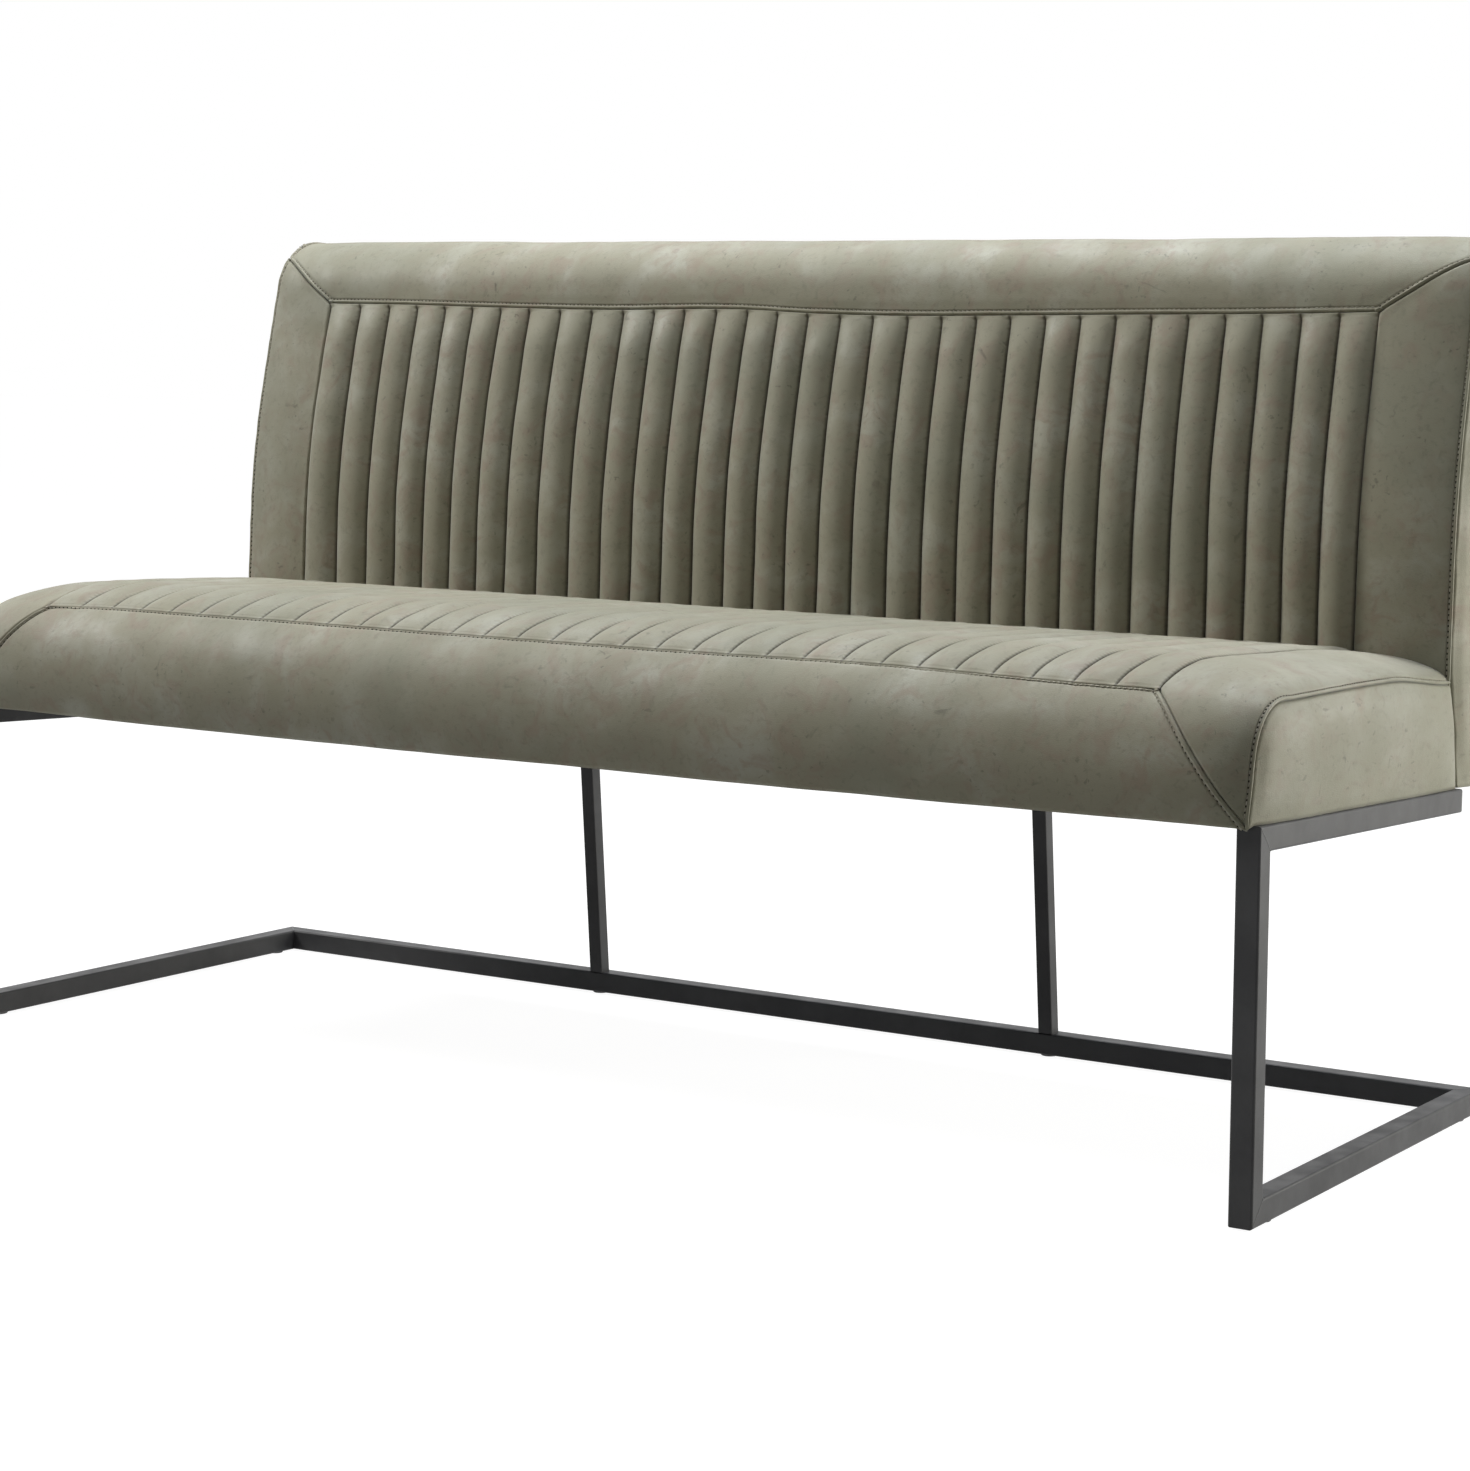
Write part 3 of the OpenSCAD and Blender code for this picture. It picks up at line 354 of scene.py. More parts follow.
def hide(name, gathered=False):
    """The leather. Gathered, it also has the small puckers of the stitching in the grooves and a
    painted shade that darkens it towards the grooves, by the map "run": the share across a channel
    and the metres along it."""
    mat, bsdf, where = new_material(name, leather_mid, 0.6, 0.26)
    bsdf.inputs["Sheen Weight"].default_value = 0.22
    bsdf.inputs["Sheen Roughness"].default_value = 0.5
    bsdf.inputs["Sheen Tint"].default_value = (0.92, 0.95, 1.0, 1)
    tree, where = where.id_data, mapped(where, (1.0, 0.5, 1.0))
    broad = noise_of(where, 4.2, 3.0, 0.55, 0.4)
    cloudy = noise_of(where, 14.0, 5.0, 0.54, 0.3)
    blotch = noise_of(where, 34.0, 4.0, 0.6, 1.0)
    mottle = noise_of(where, 130.0, 4.0, 0.65, 0.6)
    speck = noise_of(where, 150.0, 2.0, 0.5, 0.4)
    patch = noise_of(where, 10.0, 1.0)
    scuff = noise_of(mapped(where, (34.0, 150.0, 34.0), (0.5, 0.2, 0.7)), 1.0, 3.0, 0.55, 1.4)
    spots = math_of("MULTIPLY", ramp_of(speck, 0.65, 0.74), ramp_of(patch, 0.44, 0.62, 0.08, 0.5))
    marks = math_of("MULTIPLY", ramp_of(scuff, 0.64, 0.74), ramp_of(patch, 0.48, 0.60, 0.04, 0.5))
    colour = leather_mid
    for over, amount in ((leather_light, ramp_of(cloudy, 0.44, 0.74, 0.0, 0.75)),
                         (leather_brown, ramp_of(blotch, 0.47, 0.70, 0.0, 0.75)),
                         (leather_green, ramp_of(broad, 0.44, 0.66, 0.0, 0.65)),
                         (leather_dark, ramp_of(mottle, 0.50, 0.74, 0.0, 0.25)),
                         (leather_dark, spots), (leather_dark, marks)):
        colour = tint(colour, over, amount)
    wire(bsdf, "Roughness", ramp_of(cloudy, 0.3, 0.75, 0.66, 0.46))
    pores = node_of(tree, "ShaderNodeTexVoronoi", {"Vector": where}, feature="DISTANCE_TO_EDGE", Scale=560.0)
    pebble = ramp_of(pores.outputs["Distance"], 0.0, 0.25)
    terms = [(pebble, 0.12), (mottle, 0.35), (blotch, 0.5), (scuff, 0.25)]
    if gathered:
        run = node_of(tree, "ShaderNodeUVMap", uv_map="run").outputs["UV"]
        parts = node_of(tree, "ShaderNodeSeparateXYZ", {0: run}).outputs
        flank = math_of("ABSOLUTE", math_of("SUBTRACT", parts["X"], 0.5))
        near = ramp_of(flank, 0.36, 0.48)
        # Painted shade: the colour darkens towards the grooves between the channels, where shade falls.
        colour = tint(colour, leather_dark, ramp_of(flank, 0.43, 0.5, 0.0, 0.95))
        wave = math_of("SINE", math_of("MULTIPLY", parts["Y"], 2 * math.pi / pucker_pitch))
        fold = noise_of(mapped(run, (2.2, 95.0, 1.0)), 1.0, 2.0)
        tucks = math_of("MULTIPLY_ADD", fold, 2.2, math_of("MULTIPLY", wave, 0.35))
        terms.append((math_of("MULTIPLY", tucks, near), 1.0))
    height = 0.0
    for source, factor in terms:
        height = math_of("MULTIPLY_ADD", source, factor, height)
    wire(bsdf, "Base Color", colour)
    relief(bsdf, height, 0.0006, 0.75)
    return mat


leather = hide("waxed_leather")
grooved_leather = hide("channelled_leather", True)


# How the cushions stand: everything above the rails is square to the rails, which fall to the back.
# Places are (x, v, h): v back along the rails from the front of the legs, h up from the rails.
_, rail_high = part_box("right_seat_rail")
seat_fall = math.radians(2.1)
fall_cos, fall_sin = math.cos(seat_fall), math.sin(seat_fall)
front_y, rails_z = leg_low.y, rail_high.z


def stand(x, v, h):
    """World places of arrays of tilted ones."""
    return np.stack([x, front_y + v * fall_cos + h * fall_sin, rails_z - v * fall_sin + h * fall_cos], -1)


_, side_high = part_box("seat_right_side_panel")
_, field_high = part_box("seat_channel_panel")
side_swell = 0.005
seam_x = side_high.x - side_swell
field_x = field_high.x
border_w = seam_x - field_x
mitre_end_x = seam_x - 0.0012
channels = 32


def crown_share(x):
    u = np.clip((np.abs(x) - field_x) / border_w, 0, 1)
    return np.sqrt(np.maximum(0, 1 - u ** 2.2))


class Run:
    """A line drawn as lines and arcs in (v, h), read by the share of its length."""

    def __init__(self, start):
        self.points = [np.array(start, float)]

    def to(self, v, h):
        a, b = self.points[-1], np.array([v, h], float)
        self.points += [a + (b - a) * s for s in np.linspace(0, 1, 41)[1:]]
        return self

    def arc(self, centre, radius, turn_from, turn_to):
        """Angles in degrees, of the outward face above the horizontal."""
        for a in np.radians(np.linspace(turn_from, turn_to, 61)):
            self.points.append(np.array(centre) + radius * np.array([-math.cos(a), math.sin(a)]))
        return self

    def done(self):
        """The line, once its length is measured."""
        pts = np.array(self.points)
        step = np.linalg.norm(np.diff(pts, axis=0), axis=1)
        pts = pts[np.concatenate([[True], step > 1e-7])]
        dist = np.concatenate([[0], np.cumsum(np.linalg.norm(np.diff(pts, axis=0), axis=1))])
        self.length = dist[-1]
        self.share, self.table = dist / dist[-1], pts
        return self

    def at(self, share):
        return np.stack([np.interp(share, self.share, self.table[:, k]) for k in (0, 1)], -1)


# Seat cover: the middle section has a bulging front band, a seam, a rise and a flat top; the section
# at the side seams has a leaning front with a rounded corner. Everything between is a blend of both.
band_drop, band_hang = 0.003, 0.0025
band_bulge, band_bulge_h = 0.024, 0.045
seam_v, seam_h = 0.015, 0.120
crown_v, crown_h = 0.130, 0.146
side_foot_v, side_lean, side_corner_r = 0.0075, 9.0, 0.070
back_v, back_crown = 0.500, 0.016
seat_rear_gap = 0.0003
sink_from_v, rear_sink = 0.33, 0.0062
corner_inset, mitre_bow = 0.003, 0.0015

band_r = ((seam_v + band_bulge) ** 2 + (seam_h - band_bulge_h) ** 2) / (2 * (seam_v + band_bulge))
band_centre = (band_r - band_bulge, band_bulge_h)
foot_angle = math.degrees(math.asin((-band_drop - band_bulge_h) / band_r))
band_seam_angle = math.degrees(math.asin((seam_h - band_bulge_h) / band_r))
rise_r = ((crown_v - seam_v) ** 2 + (crown_h - seam_h) ** 2) / (2 * (crown_h - seam_h))
rise_from = math.degrees(math.asin(1 - (crown_h - seam_h) / rise_r))
lean_tan = math.tan(math.radians(side_lean))
corner_centre = (-side_foot_v + (seam_h - side_corner_r) * lean_tan
                 + side_corner_r / math.cos(math.radians(side_lean)), seam_h - side_corner_r)
corner_split = 42.0

mid_front = Run((band_centre[0] - band_r * math.cos(math.radians(foot_angle)), -band_drop)).arc(
    band_centre, band_r, foot_angle, band_seam_angle).done()
mid_top = Run((seam_v, seam_h)).arc((crown_v, crown_h - rise_r), rise_r, rise_from, 90).to(
    back_v - back_crown - seat_rear_gap, crown_h).done()
end_front = Run((-side_foot_v - band_drop * lean_tan, -band_drop)).arc(
    corner_centre, side_corner_r, side_lean, corner_split).done()
end_top = Run(end_front.table[-1]).arc(corner_centre, side_corner_r, corner_split, 90).to(
    back_v - seat_rear_gap, seam_h).done()


# How far the front seam stands above its place, by x
front_seam_rise = ((-0.73, 0), (-0.66, 0.0065), (-0.5, 0.008), (-0.1, 0.006), (0.2, 0.006),
                   (0.42, 0.0085), (0.56, 0.003), (0.65, 0), (0.73, 0))


def moved_seam(t, shift, low, high):
    """t again, after the seam at 1 has moved up by shift along runs of these two lengths."""
    far = np.where(t <= 1, t * (low + shift), low + shift + (t - 1) * (high - shift))
    return np.where(far <= low, far / low, 1 + (far - low) / high)


def knots(table, at):
    """A smooth line through a few values."""
    xs, ys = (np.array(column, float) for column in zip(*table))
    slopes = np.gradient(ys, xs)
    k = np.clip(np.searchsorted(xs, at) - 1, 0, len(xs) - 2)
    w = xs[k + 1] - xs[k]
    f = np.clip((at - xs[k]) / w, 0, 1)
    return (ys[k] * (2 * f ** 3 - 3 * f ** 2 + 1) + ys[k + 1] * (3 * f ** 2 - 2 * f ** 3)
            + w * (slopes[k] * (f ** 3 - 2 * f ** 2 + f) + slopes[k + 1] * (f ** 3 - f ** 2)))


# How far the side seams lie below their place, by v
side_seam_sink = ((-0.02, 0), (0, 0.0005), (0.03, 0.0035), (0.065, 0.0072), (0.113, 0.0066),
                  (0.187, 0.004), (0.30, 0.001), (0.36, 0), (0.6, 0))


def sink(x, v):
    """How far the seat falls towards the back, and its side seams towards the front."""
    s = np.clip((v - sink_from_v) / (back_v - sink_from_v), 0, 1)
    side = 1 - crown_share(x)
    return rear_sink * s * s * (3 - 2 * s) * (1 + 0.6 * side) + knots(side_seam_sink, v) * side


def seat_skin(x, t):
    """Seat cover at x and t: 0 at the foot of the front, 1 at the front seam, 2 at the back."""
    t = moved_seam(t, knots(front_seam_rise, x), mid_front.length, mid_top.length)
    k = crown_share(x)[..., None]
    low = (1 - k) * end_front.at(np.clip(t, 0, 1)) + k * mid_front.at(np.clip(t, 0, 1))
    top = (1 - k) * end_top.at(np.clip(t - 1, 0, 1)) + k * mid_top.at(np.clip(t - 1, 0, 1))
    vh = np.where((t <= 1)[..., None], low, top)
    hang = band_hang * np.clip(1 - (x / field_x) ** 4, 0, 1) * np.clip(1 - 3 * t, 0, 1) ** 2
    return stand(x, vh[..., 0], vh[..., 1] - hang - sink(x, vh[..., 0]))


def seat_mitre_x(t):
    """Where the mitre seam runs: from the lower corner to the corner of the channels."""
    run = np.clip(t, 0, 1)
    front = mitre_end_x + (field_x - corner_inset - mitre_end_x) * run + mitre_bow * np.sin(math.pi * run)
    return np.where(t < 1, front, field_x - corner_inset * np.exp(-((np.maximum(t, 1) - 1) / 0.15) ** 2))


# How a panel of the cover is made: a sheet over the form, its edges rolled into the seams. Where a
# seam is topstitched, the folded edge stands up as a narrow strip and the row of stitches draws it in.
seam_roll = 0.0036
strip_w, close_strip_w, strip_rise = 0.0054, 0.0030, 0.0010
row_draw, row_wide = 0.0014, 0.0011
hollow, hollow_wide = 0.0008, 0.009
edge_rows = [0, 0.0003, 0.0008, 0.0015, 0.0022, 0.0029, 0.0036, 0.0042, 0.0048, 0.0054, 0.006, 0.0067,
             0.0075, 0.0086, 0.0103, 0.0127, 0.0156, 0.0195]
hem_rows = [0, 0.004, 0.009]
backing = 0.003
panel_pitch = 0.0065


def rows_between(length, pitch=panel_pitch, start=edge_rows, end=edge_rows):
    """Shares of a length: close together at both edges, even between."""
    a, b = list(start), [length - d for d in reversed(end)]
    n = max(1, round((b[0] - a[-1]) / pitch))
    return np.array(a + list(np.linspace(a[-1], b[0], n + 1)[1:-1]) + b) / length


def laid(surf, us, ws):
    """Places and outward faces of a sheet, where surf(u, w) gives its places for shares u and w."""
    u, w = np.meshgrid(us, ws, indexing="ij")
    step = 0.0015
    across = surf(np.minimum(u + step, 1), w) - surf(np.maximum(u - step, 0), w)
    along = surf(u, np.minimum(w + step, 1)) - surf(u, np.maximum(w - step, 0))
    faces = np.cross(across, along)
    return surf(u, w), faces / np.maximum(np.linalg.norm(faces, axis=-1, keepdims=True), 1e-12)


def edge_line(grid, edge):
    """The points of one edge of grid."""
    return {"left": grid[0], "right": grid[-1], "foot": grid[:, 0], "head": grid[:, -1]}[edge]


def evenly(line, pitch):
    """The same line with its points at an even pitch."""
    far = np.concatenate([[0], np.cumsum(np.linalg.norm(np.diff(line, axis=0), axis=1))])
    n = max(2, round(far[-1] / pitch) + 1)
    return np.stack([np.interp(np.linspace(0, far[-1], n), far, line[:, k]) for k in range(3)], -1)


def away_from(grid, edge):
    """How far each point of grid is from one of its edges."""
    line = evenly(edge_line(grid, edge), 0.0004)
    tree = kdtree.KDTree(len(line))
    for k, point in enumerate(line):
        tree.insert(point, k)
    tree.balance()
    return np.array([tree.find(point)[2] for point in grid.reshape(-1, 3)]).reshape(grid.shape[:2])


def rolled(d, r=seam_roll):
    """Height of an edge that rolls over into its seam, at a distance d from it."""
    k = np.clip(1 - d / r, 0, 1)
    return -r * (1 - np.sqrt(np.maximum(0, 1 - k * k)))


def stripped(d, width):
    """Height of the strip along a topstitched seam, and of the dip that its stitches draw in."""
    ridge = np.sin(math.pi * np.clip(d / width, 0, 1)) ** 0.7
    drawn = row_draw * np.exp(-((d - width) / row_wide) ** 2)
    beyond = hollow * np.exp(-((d - width) / hollow_wide) ** 2) * (d > width)
    return strip_rise * ridge * width / strip_w - drawn - beyond


def rumple(grid, scale, seed):
    """Smooth noise between -1 and 1 over the places of grid."""
    shift = Vector((seed * 1.7, seed * 0.9, seed * 0.4))
    return np.array([noise.noise(Vector(p) * scale + shift)
                     for p in grid.reshape(-1, 3)]).reshape(grid.shape[:2])


def smooth_shares(coarse, shares):
    """Weights that read a row of evenly spaced values at shares of its length, smoothly."""
    at = np.clip(shares, 0, 1) * (coarse - 1)
    base = np.minimum(np.floor(at).astype(int), coarse - 2)
    f = at - base
    weights = np.zeros((len(at), coarse))
    for step, part in ((-1, -0.5 * f + f ** 2 - 0.5 * f ** 3), (0, 1 - 2.5 * f ** 2 + 1.5 * f ** 3),
                       (1, 0.5 * f + 2 * f ** 2 - 1.5 * f ** 3), (2, -0.5 * f ** 2 + 0.5 * f ** 3)):
        np.add.at(weights, (np.arange(len(at)), np.clip(base + step, 0, coarse - 1)), part)
    return weights


def grid_mesh(name, grid):
    """A mesh of quads over a grid of places."""
    rows, cols = grid.shape[:2]
    index = np.arange(rows * cols).reshape(rows, cols)
    quads = np.stack([index[:-1, :-1], index[1:, :-1], index[1:, 1:], index[:-1, 1:]], -1).reshape(-1, 4)
    mesh = bpy.data.meshes.new(name)
    mesh.from_pydata(grid.reshape(-1, 3).tolist(), [], quads.tolist())
    return mesh


def pulled_taut(places, faces, held, slack, pressure, sunk):
    """Cloth simulation of a cover on its padding: it starts sunk by so much, is held where it is
    sewn, and swells. Returns how far each point then stands off the form, along faces."""
    trial = added("cover_trial", grid_mesh("cover_trial", places - faces * sunk[..., None]))
    trial.vertex_groups.new(name="sewn").add(np.flatnonzero(held).tolist(), 1.0, "REPLACE")
    cover = trial.modifiers.new("cover", "CLOTH")
    cloth = cover.settings
    cloth.quality = 4
    cloth.mass = 0.2
    cloth.tension_stiffness = cloth.compression_stiffness = cloth.shear_stiffness = 8
    cloth.bending_stiffness = 4
    cloth.tension_damping = cloth.compression_damping = cloth.shear_damping = 5
    cloth.air_damping = 2
    cloth.use_pressure = True
    cloth.uniform_pressure_force = pressure
    cloth.shrink_min = -slack
    cloth.effector_weights.gravity = 0
    cloth.vertex_group_mass = "sewn"
    cover.collision_settings.use_collision = False
    cover.point_cache.frame_start, cover.point_cache.frame_end = 1, cloth_frames
    for frame_number in range(1, cloth_frames + 1):
        scene.frame_set(frame_number)
    swollen = trial.evaluated_get(bpy.context.evaluated_depsgraph_get()).data
    flat = np.empty(len(swollen.vertices) * 3, np.float32)
    swollen.vertices.foreach_get("co", flat)
    bpy.data.objects.remove(trial)
    scene.frame_set(1)
    return ((flat.reshape(places.shape) - places) * faces).sum(-1)


cloth_frames = 20
cloth_pitch = 0.011
swell_cap, dip_cap = 0.0032, 0.0010
sunk_by, sunk_unevenly = 0.0022, 0.0006


def swelling(surf, us, ws, size, slack, pressure, seed):
    """How far a panel of this size swells off its form at the shares us and ws."""
    many = [max(8, round(length / cloth_pitch) + 1) for length in size]
    places, faces = laid(surf, np.linspace(0, 1, many[0]), np.linspace(0, 1, many[1]))
    held = np.zeros(many, bool)
    held[0] = held[-1] = held[:, 0] = held[:, -1] = True
    inner = np.where(held, 0.0, 1.0)
    sunk = inner * (sunk_by + sunk_unevenly * rumple(places, 25.0, seed))
    off = pulled_taut(places, faces, held, slack, pressure, sunk)
    for _ in range(3):
        wide = np.pad(off, 1, mode="edge")
        beside = wide[:-2, 1:-1] + wide[2:, 1:-1] + wide[1:-1, :-2] + wide[1:-1, 2:]
        off = inner * (wide[1:-1, 1:-1] * 4 + 2 * beside
                       + wide[:-2, :-2] + wide[2:, 2:] + wide[:-2, 2:] + wide[2:, :-2]) / 16
    off = np.where(off > 0, swell_cap * np.tanh(off / swell_cap), dip_cap * np.tanh(off / dip_cap))
    return smooth_shares(many[0], us) @ off @ smooth_shares(many[1], ws).T


thread_r = 0.0008
fade_w = 0.016
tuck, tuck_reach = 0.0006, 0.014
seat_rows, back_rows = [], []


def stitch_row(sheet, faces, d, width, others):
    """The line on a sheet at distance width from the edge that d measures from, clear of other seams."""
    line = []
    for k in range(sheet.shape[0]):
        inside = np.where(d[k] < width)[0]
        if not len(inside):
            continue
        last = inside[-1] if inside[0] == 0 else inside[0] - 1
        if last < 0 or last + 1 >= sheet.shape[1]:
            continue
        share = (width - d[k, last]) / (d[k, last + 1] - d[k, last])
        if min([1.0] + [o[k, last] for o in others]) < width * 0.9:
            continue
        line.append(sheet[k, last] + (sheet[k, last + 1] - sheet[k, last]) * share
                    + faces[k, last] * thread_r * 0.8)
    return np.array(line)


def sewn(places, faces, seams, stitched, seed=1.0, soft=0.0012, puff=0.0, rows=None):
    """The sheet with its edges in their seams. stitched gives the width of the strip at each edge that
    is topstitched; the lines of the stitches are added to rows."""
    lift = puff + soft * rumple(places, 7.0, seed) + soft * 0.45 * rumple(places, 19.0, seed + 3)
    away = {edge: away_from(places, edge) for edge in seams}
    near = np.minimum.reduce(list(away.values()))
    lift *= np.clip(near / fade_w, 0, 1)
    for edge, d in away.items():
        lift += rolled(d) + (stripped(d, stitched[edge]) if edge in stitched else 0)
    lift += (tuck * rumple(places, 60.0, seed + 7)
             * np.exp(-np.maximum(near - strip_w, 0) / tuck_reach) * (near > 0.002))
    sheet = places + faces * lift[..., None]
    for edge, width in stitched.items():
        others = [away[e] for e in seams if e != edge]
        if edge in ("foot", "head"):
            line = stitch_row(sheet, faces, away[edge], width, others)
        else:
            line = stitch_row(sheet.transpose(1, 0, 2), faces.transpose(1, 0, 2), away[edge].T, width,
                              [o.T for o in others])
        if len(line) > 1:
            rows.append(line)
    return sheet


def fixed(obj):
    """Keeps what the modifiers of obj make as its mesh, and takes them away."""
    made = bpy.data.meshes.new_from_object(obj.evaluated_get(bpy.context.evaluated_depsgraph_get()))
    obj.modifiers.clear()
    obj.data = made
    made.name = obj.name


def upholster(name, grid, node, run=None):
    """A sheet of leather with a backing that closes it, in place of the padded CAD piece node.
    run is the map "run" of its points, for a channelled panel."""
    mesh = grid_mesh(name, grid)
    mesh.polygons.foreach_set("use_smooth", [True] * len(mesh.polygons))
    mesh.materials.append(leather if run is None else grooved_leather)
    if run is not None:
        corners = np.empty(len(mesh.loops), int)
        mesh.loops.foreach_get("vertex_index", corners)
        values = run.reshape(-1, 2)[corners].reshape(-1, 4, 2)
        share = values[..., 0]
        values[..., 0] = np.where((share == 0) & (share.max(1, keepdims=True) > 0.5), 1, share)
        mesh.uv_layers.new(name="run").data.foreach_set("uv", values.reshape(-1).astype(np.float32))
    piece = added(name, mesh)
    mod = piece.modifiers.new("backing", "SOLIDIFY")
    mod.thickness = backing
    mod.offset = -1
    mod.use_rim = True
    fixed(piece)
    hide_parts(node)
    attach(piece, "root")


def centred(skin, half_w, start=0):
    """The sheet of skin out to half_w(t) on both sides, for t from start to start + 1."""
    return lambda u, w: skin((2 * u - 1) * half_w(start + w), start + w)


flipped = np.array([-1, 1, 1])
bulge_reach = 0.018


def upholster_ends(part, kind, grid, node):
    """The same piece at the right end and, mirrored, at the left."""
    for side, sheet in (("right", grid), ("left", (grid * flipped)[::-1])):
        upholster(f"{part}_{side}_{kind}_leather", sheet, f"{part}_{side}_{node}")


def at_both_ends(rows):
    return rows + [line * flipped for line in rows]


def plain_panel(surf, across, along, slack, seams, stitched, seed, soft, rows=None, pressure=9, share=1.0,
                bulge=0.0):
    """A plain panel over the form: laid, swollen over its padding and sewn. across and along say how
    its rows lie; with a bulge it is cut flat and stands out to its end of the sofa."""
    us, ws = rows_between(*across), rows_between(*along)
    places, faces = laid(surf, us, ws)
    if bulge:
        near = np.minimum.reduce([away_from(places, edge) for edge in seams])
        places[..., 0] += bulge * (1 - np.exp(-near / bulge_reach))
        faces = np.broadcast_to(np.array([1.0, 0, 0]), places.shape)
    puff = share * swelling(surf, us, ws, (across[0], along[0]), slack, pressure, seed)
    return sewn(places, faces, seams, stitched, seed, soft, puff, rows)


# Front band: one long strip of leather over the front edge of the foam, tucked under at its foot,
# with mitred ends. A topstitch runs along its seam with the channels and along the mitres.
band_strips = {"left": strip_w, "right": strip_w, "head": close_strip_w}
band = plain_panel(centred(seat_skin, seat_mitre_x), (2 * field_x,),
                   (mid_front.length, panel_pitch, hem_rows), 0.006,
                   ("left", "right", "head"), band_strips, 1.0, 0.0012, seat_rows)
upholster("seat_front_band_leather", band, "seat_front_band")


# Channelled panel of the seat: leather and wadding sewn through along straight lines, so that each
# channel stands up round between two stitched grooves. Its front edge is sewn to the band.
seat_pillow, seat_groove, settled = 0.0046, 0.0020, 0.34
seam_fade, channel_roll, sway_w = 0.005, 0.0016, 0.0009
wave_share, dimple = 0.13, 0.0007
row_pitch = 0.0085
channel_shares = [0.0, 0.012, 0.035, 0.075, 0.13, 0.21, 0.31, 0.42, 0.5, 0.58, 0.69, 0.79, 0.87, 0.925,
                  0.965, 0.988]


def pillow(share, bow, flank):
    """Height of a channel across its width, in shares of its full height."""
    return np.maximum(0, 1 - np.abs(2 * share - 1) ** bow) ** flank


# Shares across the panel of all the lines of its grid, and the share of each across its own channel
channel_us = np.array([(c + s) / channels for c in range(channels) for s in channel_shares] + [1.0])
channel_ps = np.array(channel_shares * channels + [0.0])


def channelled(surf, ws, height, groove, shape, seam, flat, seed, wander, slant=((0, 0), (channels, 0))):
    """A sheet in channels; at their seam they lie flat, and fill out over the distance flat. wander is
    how far the sewing strays sideways, by channel; slant is how much further at the far end."""
    places, faces = laid(surf, channel_us, ws)
    away = away_from(places, seam)
    full = settled + (1 - settled) * np.sin(0.5 * math.pi * np.clip(away / flat, 0, 1))
    lanes = np.arange(places.shape[0]) / len(channel_shares)

    def drift(lane_of, spread, shift, scale):
        """Noise that differs from lane to lane."""
        return np.array([[noise.noise(Vector((lane * spread + seed + shift, p[2] * scale, p[1] * scale)))
                          for p in row] for lane, row in zip(lane_of(lanes), places)])

    wave, sway = drift(np.floor, 3.7, 0, 8), drift(np.round, 5.3, 9, 11)
    rise = pillow(channel_ps, *shape)[:, None]
    lift = (height + groove) * rise * full * (1 + wave_share * wave) - groove
    lift += dimple * rumple(places, 26.0, seed) * np.minimum(1, rise * 1.4) * full
    lift = lift * np.clip(away / seam_fade, 0, 1) + rolled(away, channel_roll)
    moved = places + faces * lift[..., None]
    moved[..., 0] += sway_w * sway * ((channel_us > 0) & (channel_us < 1))[:, None]
    far = np.linspace(1, 0, places.shape[1]) if seam == "head" else np.linspace(0, 1, places.shape[1])
    own_share = channel_us * channels
    moved[..., 0] += knots(wander, own_share)[:, None] + knots(slant, own_share)[:, None] * far
    along = np.concatenate([np.zeros((len(places), 1)),
                            np.cumsum(np.linalg.norm(np.diff(places, axis=1), axis=-1), 1)], 1)
    return moved, np.stack([np.broadcast_to(channel_ps[:, None], along.shape), along], -1)


seat_ws = rows_between(mid_top.length, row_pitch, end=hem_rows)
seat_stray = ((0, 0), (1, 0.005), (4, 0.005), (7, 0.0075), (9.5, 0.014), (11, 0.0125), (13, 0.0075),
              (18, 0.007), (22, 0.005), (26, 0.0032), (28, -0.002), (31, -0.001), (32, 0))
grid, run = channelled(centred(seat_skin, seat_mitre_x, 1), seat_ws, seat_pillow, seat_groove, (2.3, 0.62),
                       "foot", 0.024, 2.0, seat_stray)
upholster("seat_channels_leather", grid, "seat_channel_panel", run)


# Plain borders of the seat: one at each end, cut in one piece from the underside of the front over
# the corner to the back. They meet the band at the mitres and the side panels at the side seams.
seat_length = mid_front.length + mid_top.length
seat_front_share = mid_front.length / seat_length


def seat_border_surf(u, w):
    t = np.where(w < seat_front_share, w / seat_front_share,
                 1 + (w - seat_front_share) / (1 - seat_front_share))
    start = seat_mitre_x(t)
    return seat_skin(start + (seam_x - start) * u, t)


one_side = []
border = plain_panel(seat_border_surf, (border_w,), (seat_length, 0.007, hem_rows, hem_rows), 0.006,
                     ("left", "right"), {"right": strip_w}, 3.0, 0.0016, one_side)
seat_rows += at_both_ends(one_side)
upholster_ends("seat", "border", border, "border")


# Side panels of the seat: a flat-cut piece at each end that swells gently over its padding.
# It is sewn to the border all round its upper edge and stapled under the seat board.
def patch_between(foot, right, head, left, follow):
    """A sheet between four lines in (v, h), stood up at the side seam. foot and head run the same way,
    left and right run up. follow is the share of the seat's sink that its head follows."""
    def surf(u, w):
        u2, w2 = u[..., None], w[..., None]
        corners = ((1 - u2) * (1 - w2) * foot.at(0) + u2 * (1 - w2) * foot.at(1)
                   + (1 - u2) * w2 * head.at(0) + u2 * w2 * head.at(1))
        flat = ((1 - w2) * foot.at(u) + w2 * head.at(u) + (1 - u2) * left.at(w) + u2 * right.at(w) - corners)
        sunk = follow * sink(seam_x, flat[..., 0]) * w ** 2
        return stand(np.full(u.shape, seam_x), flat[..., 0], flat[..., 1] - sunk)
    return surf


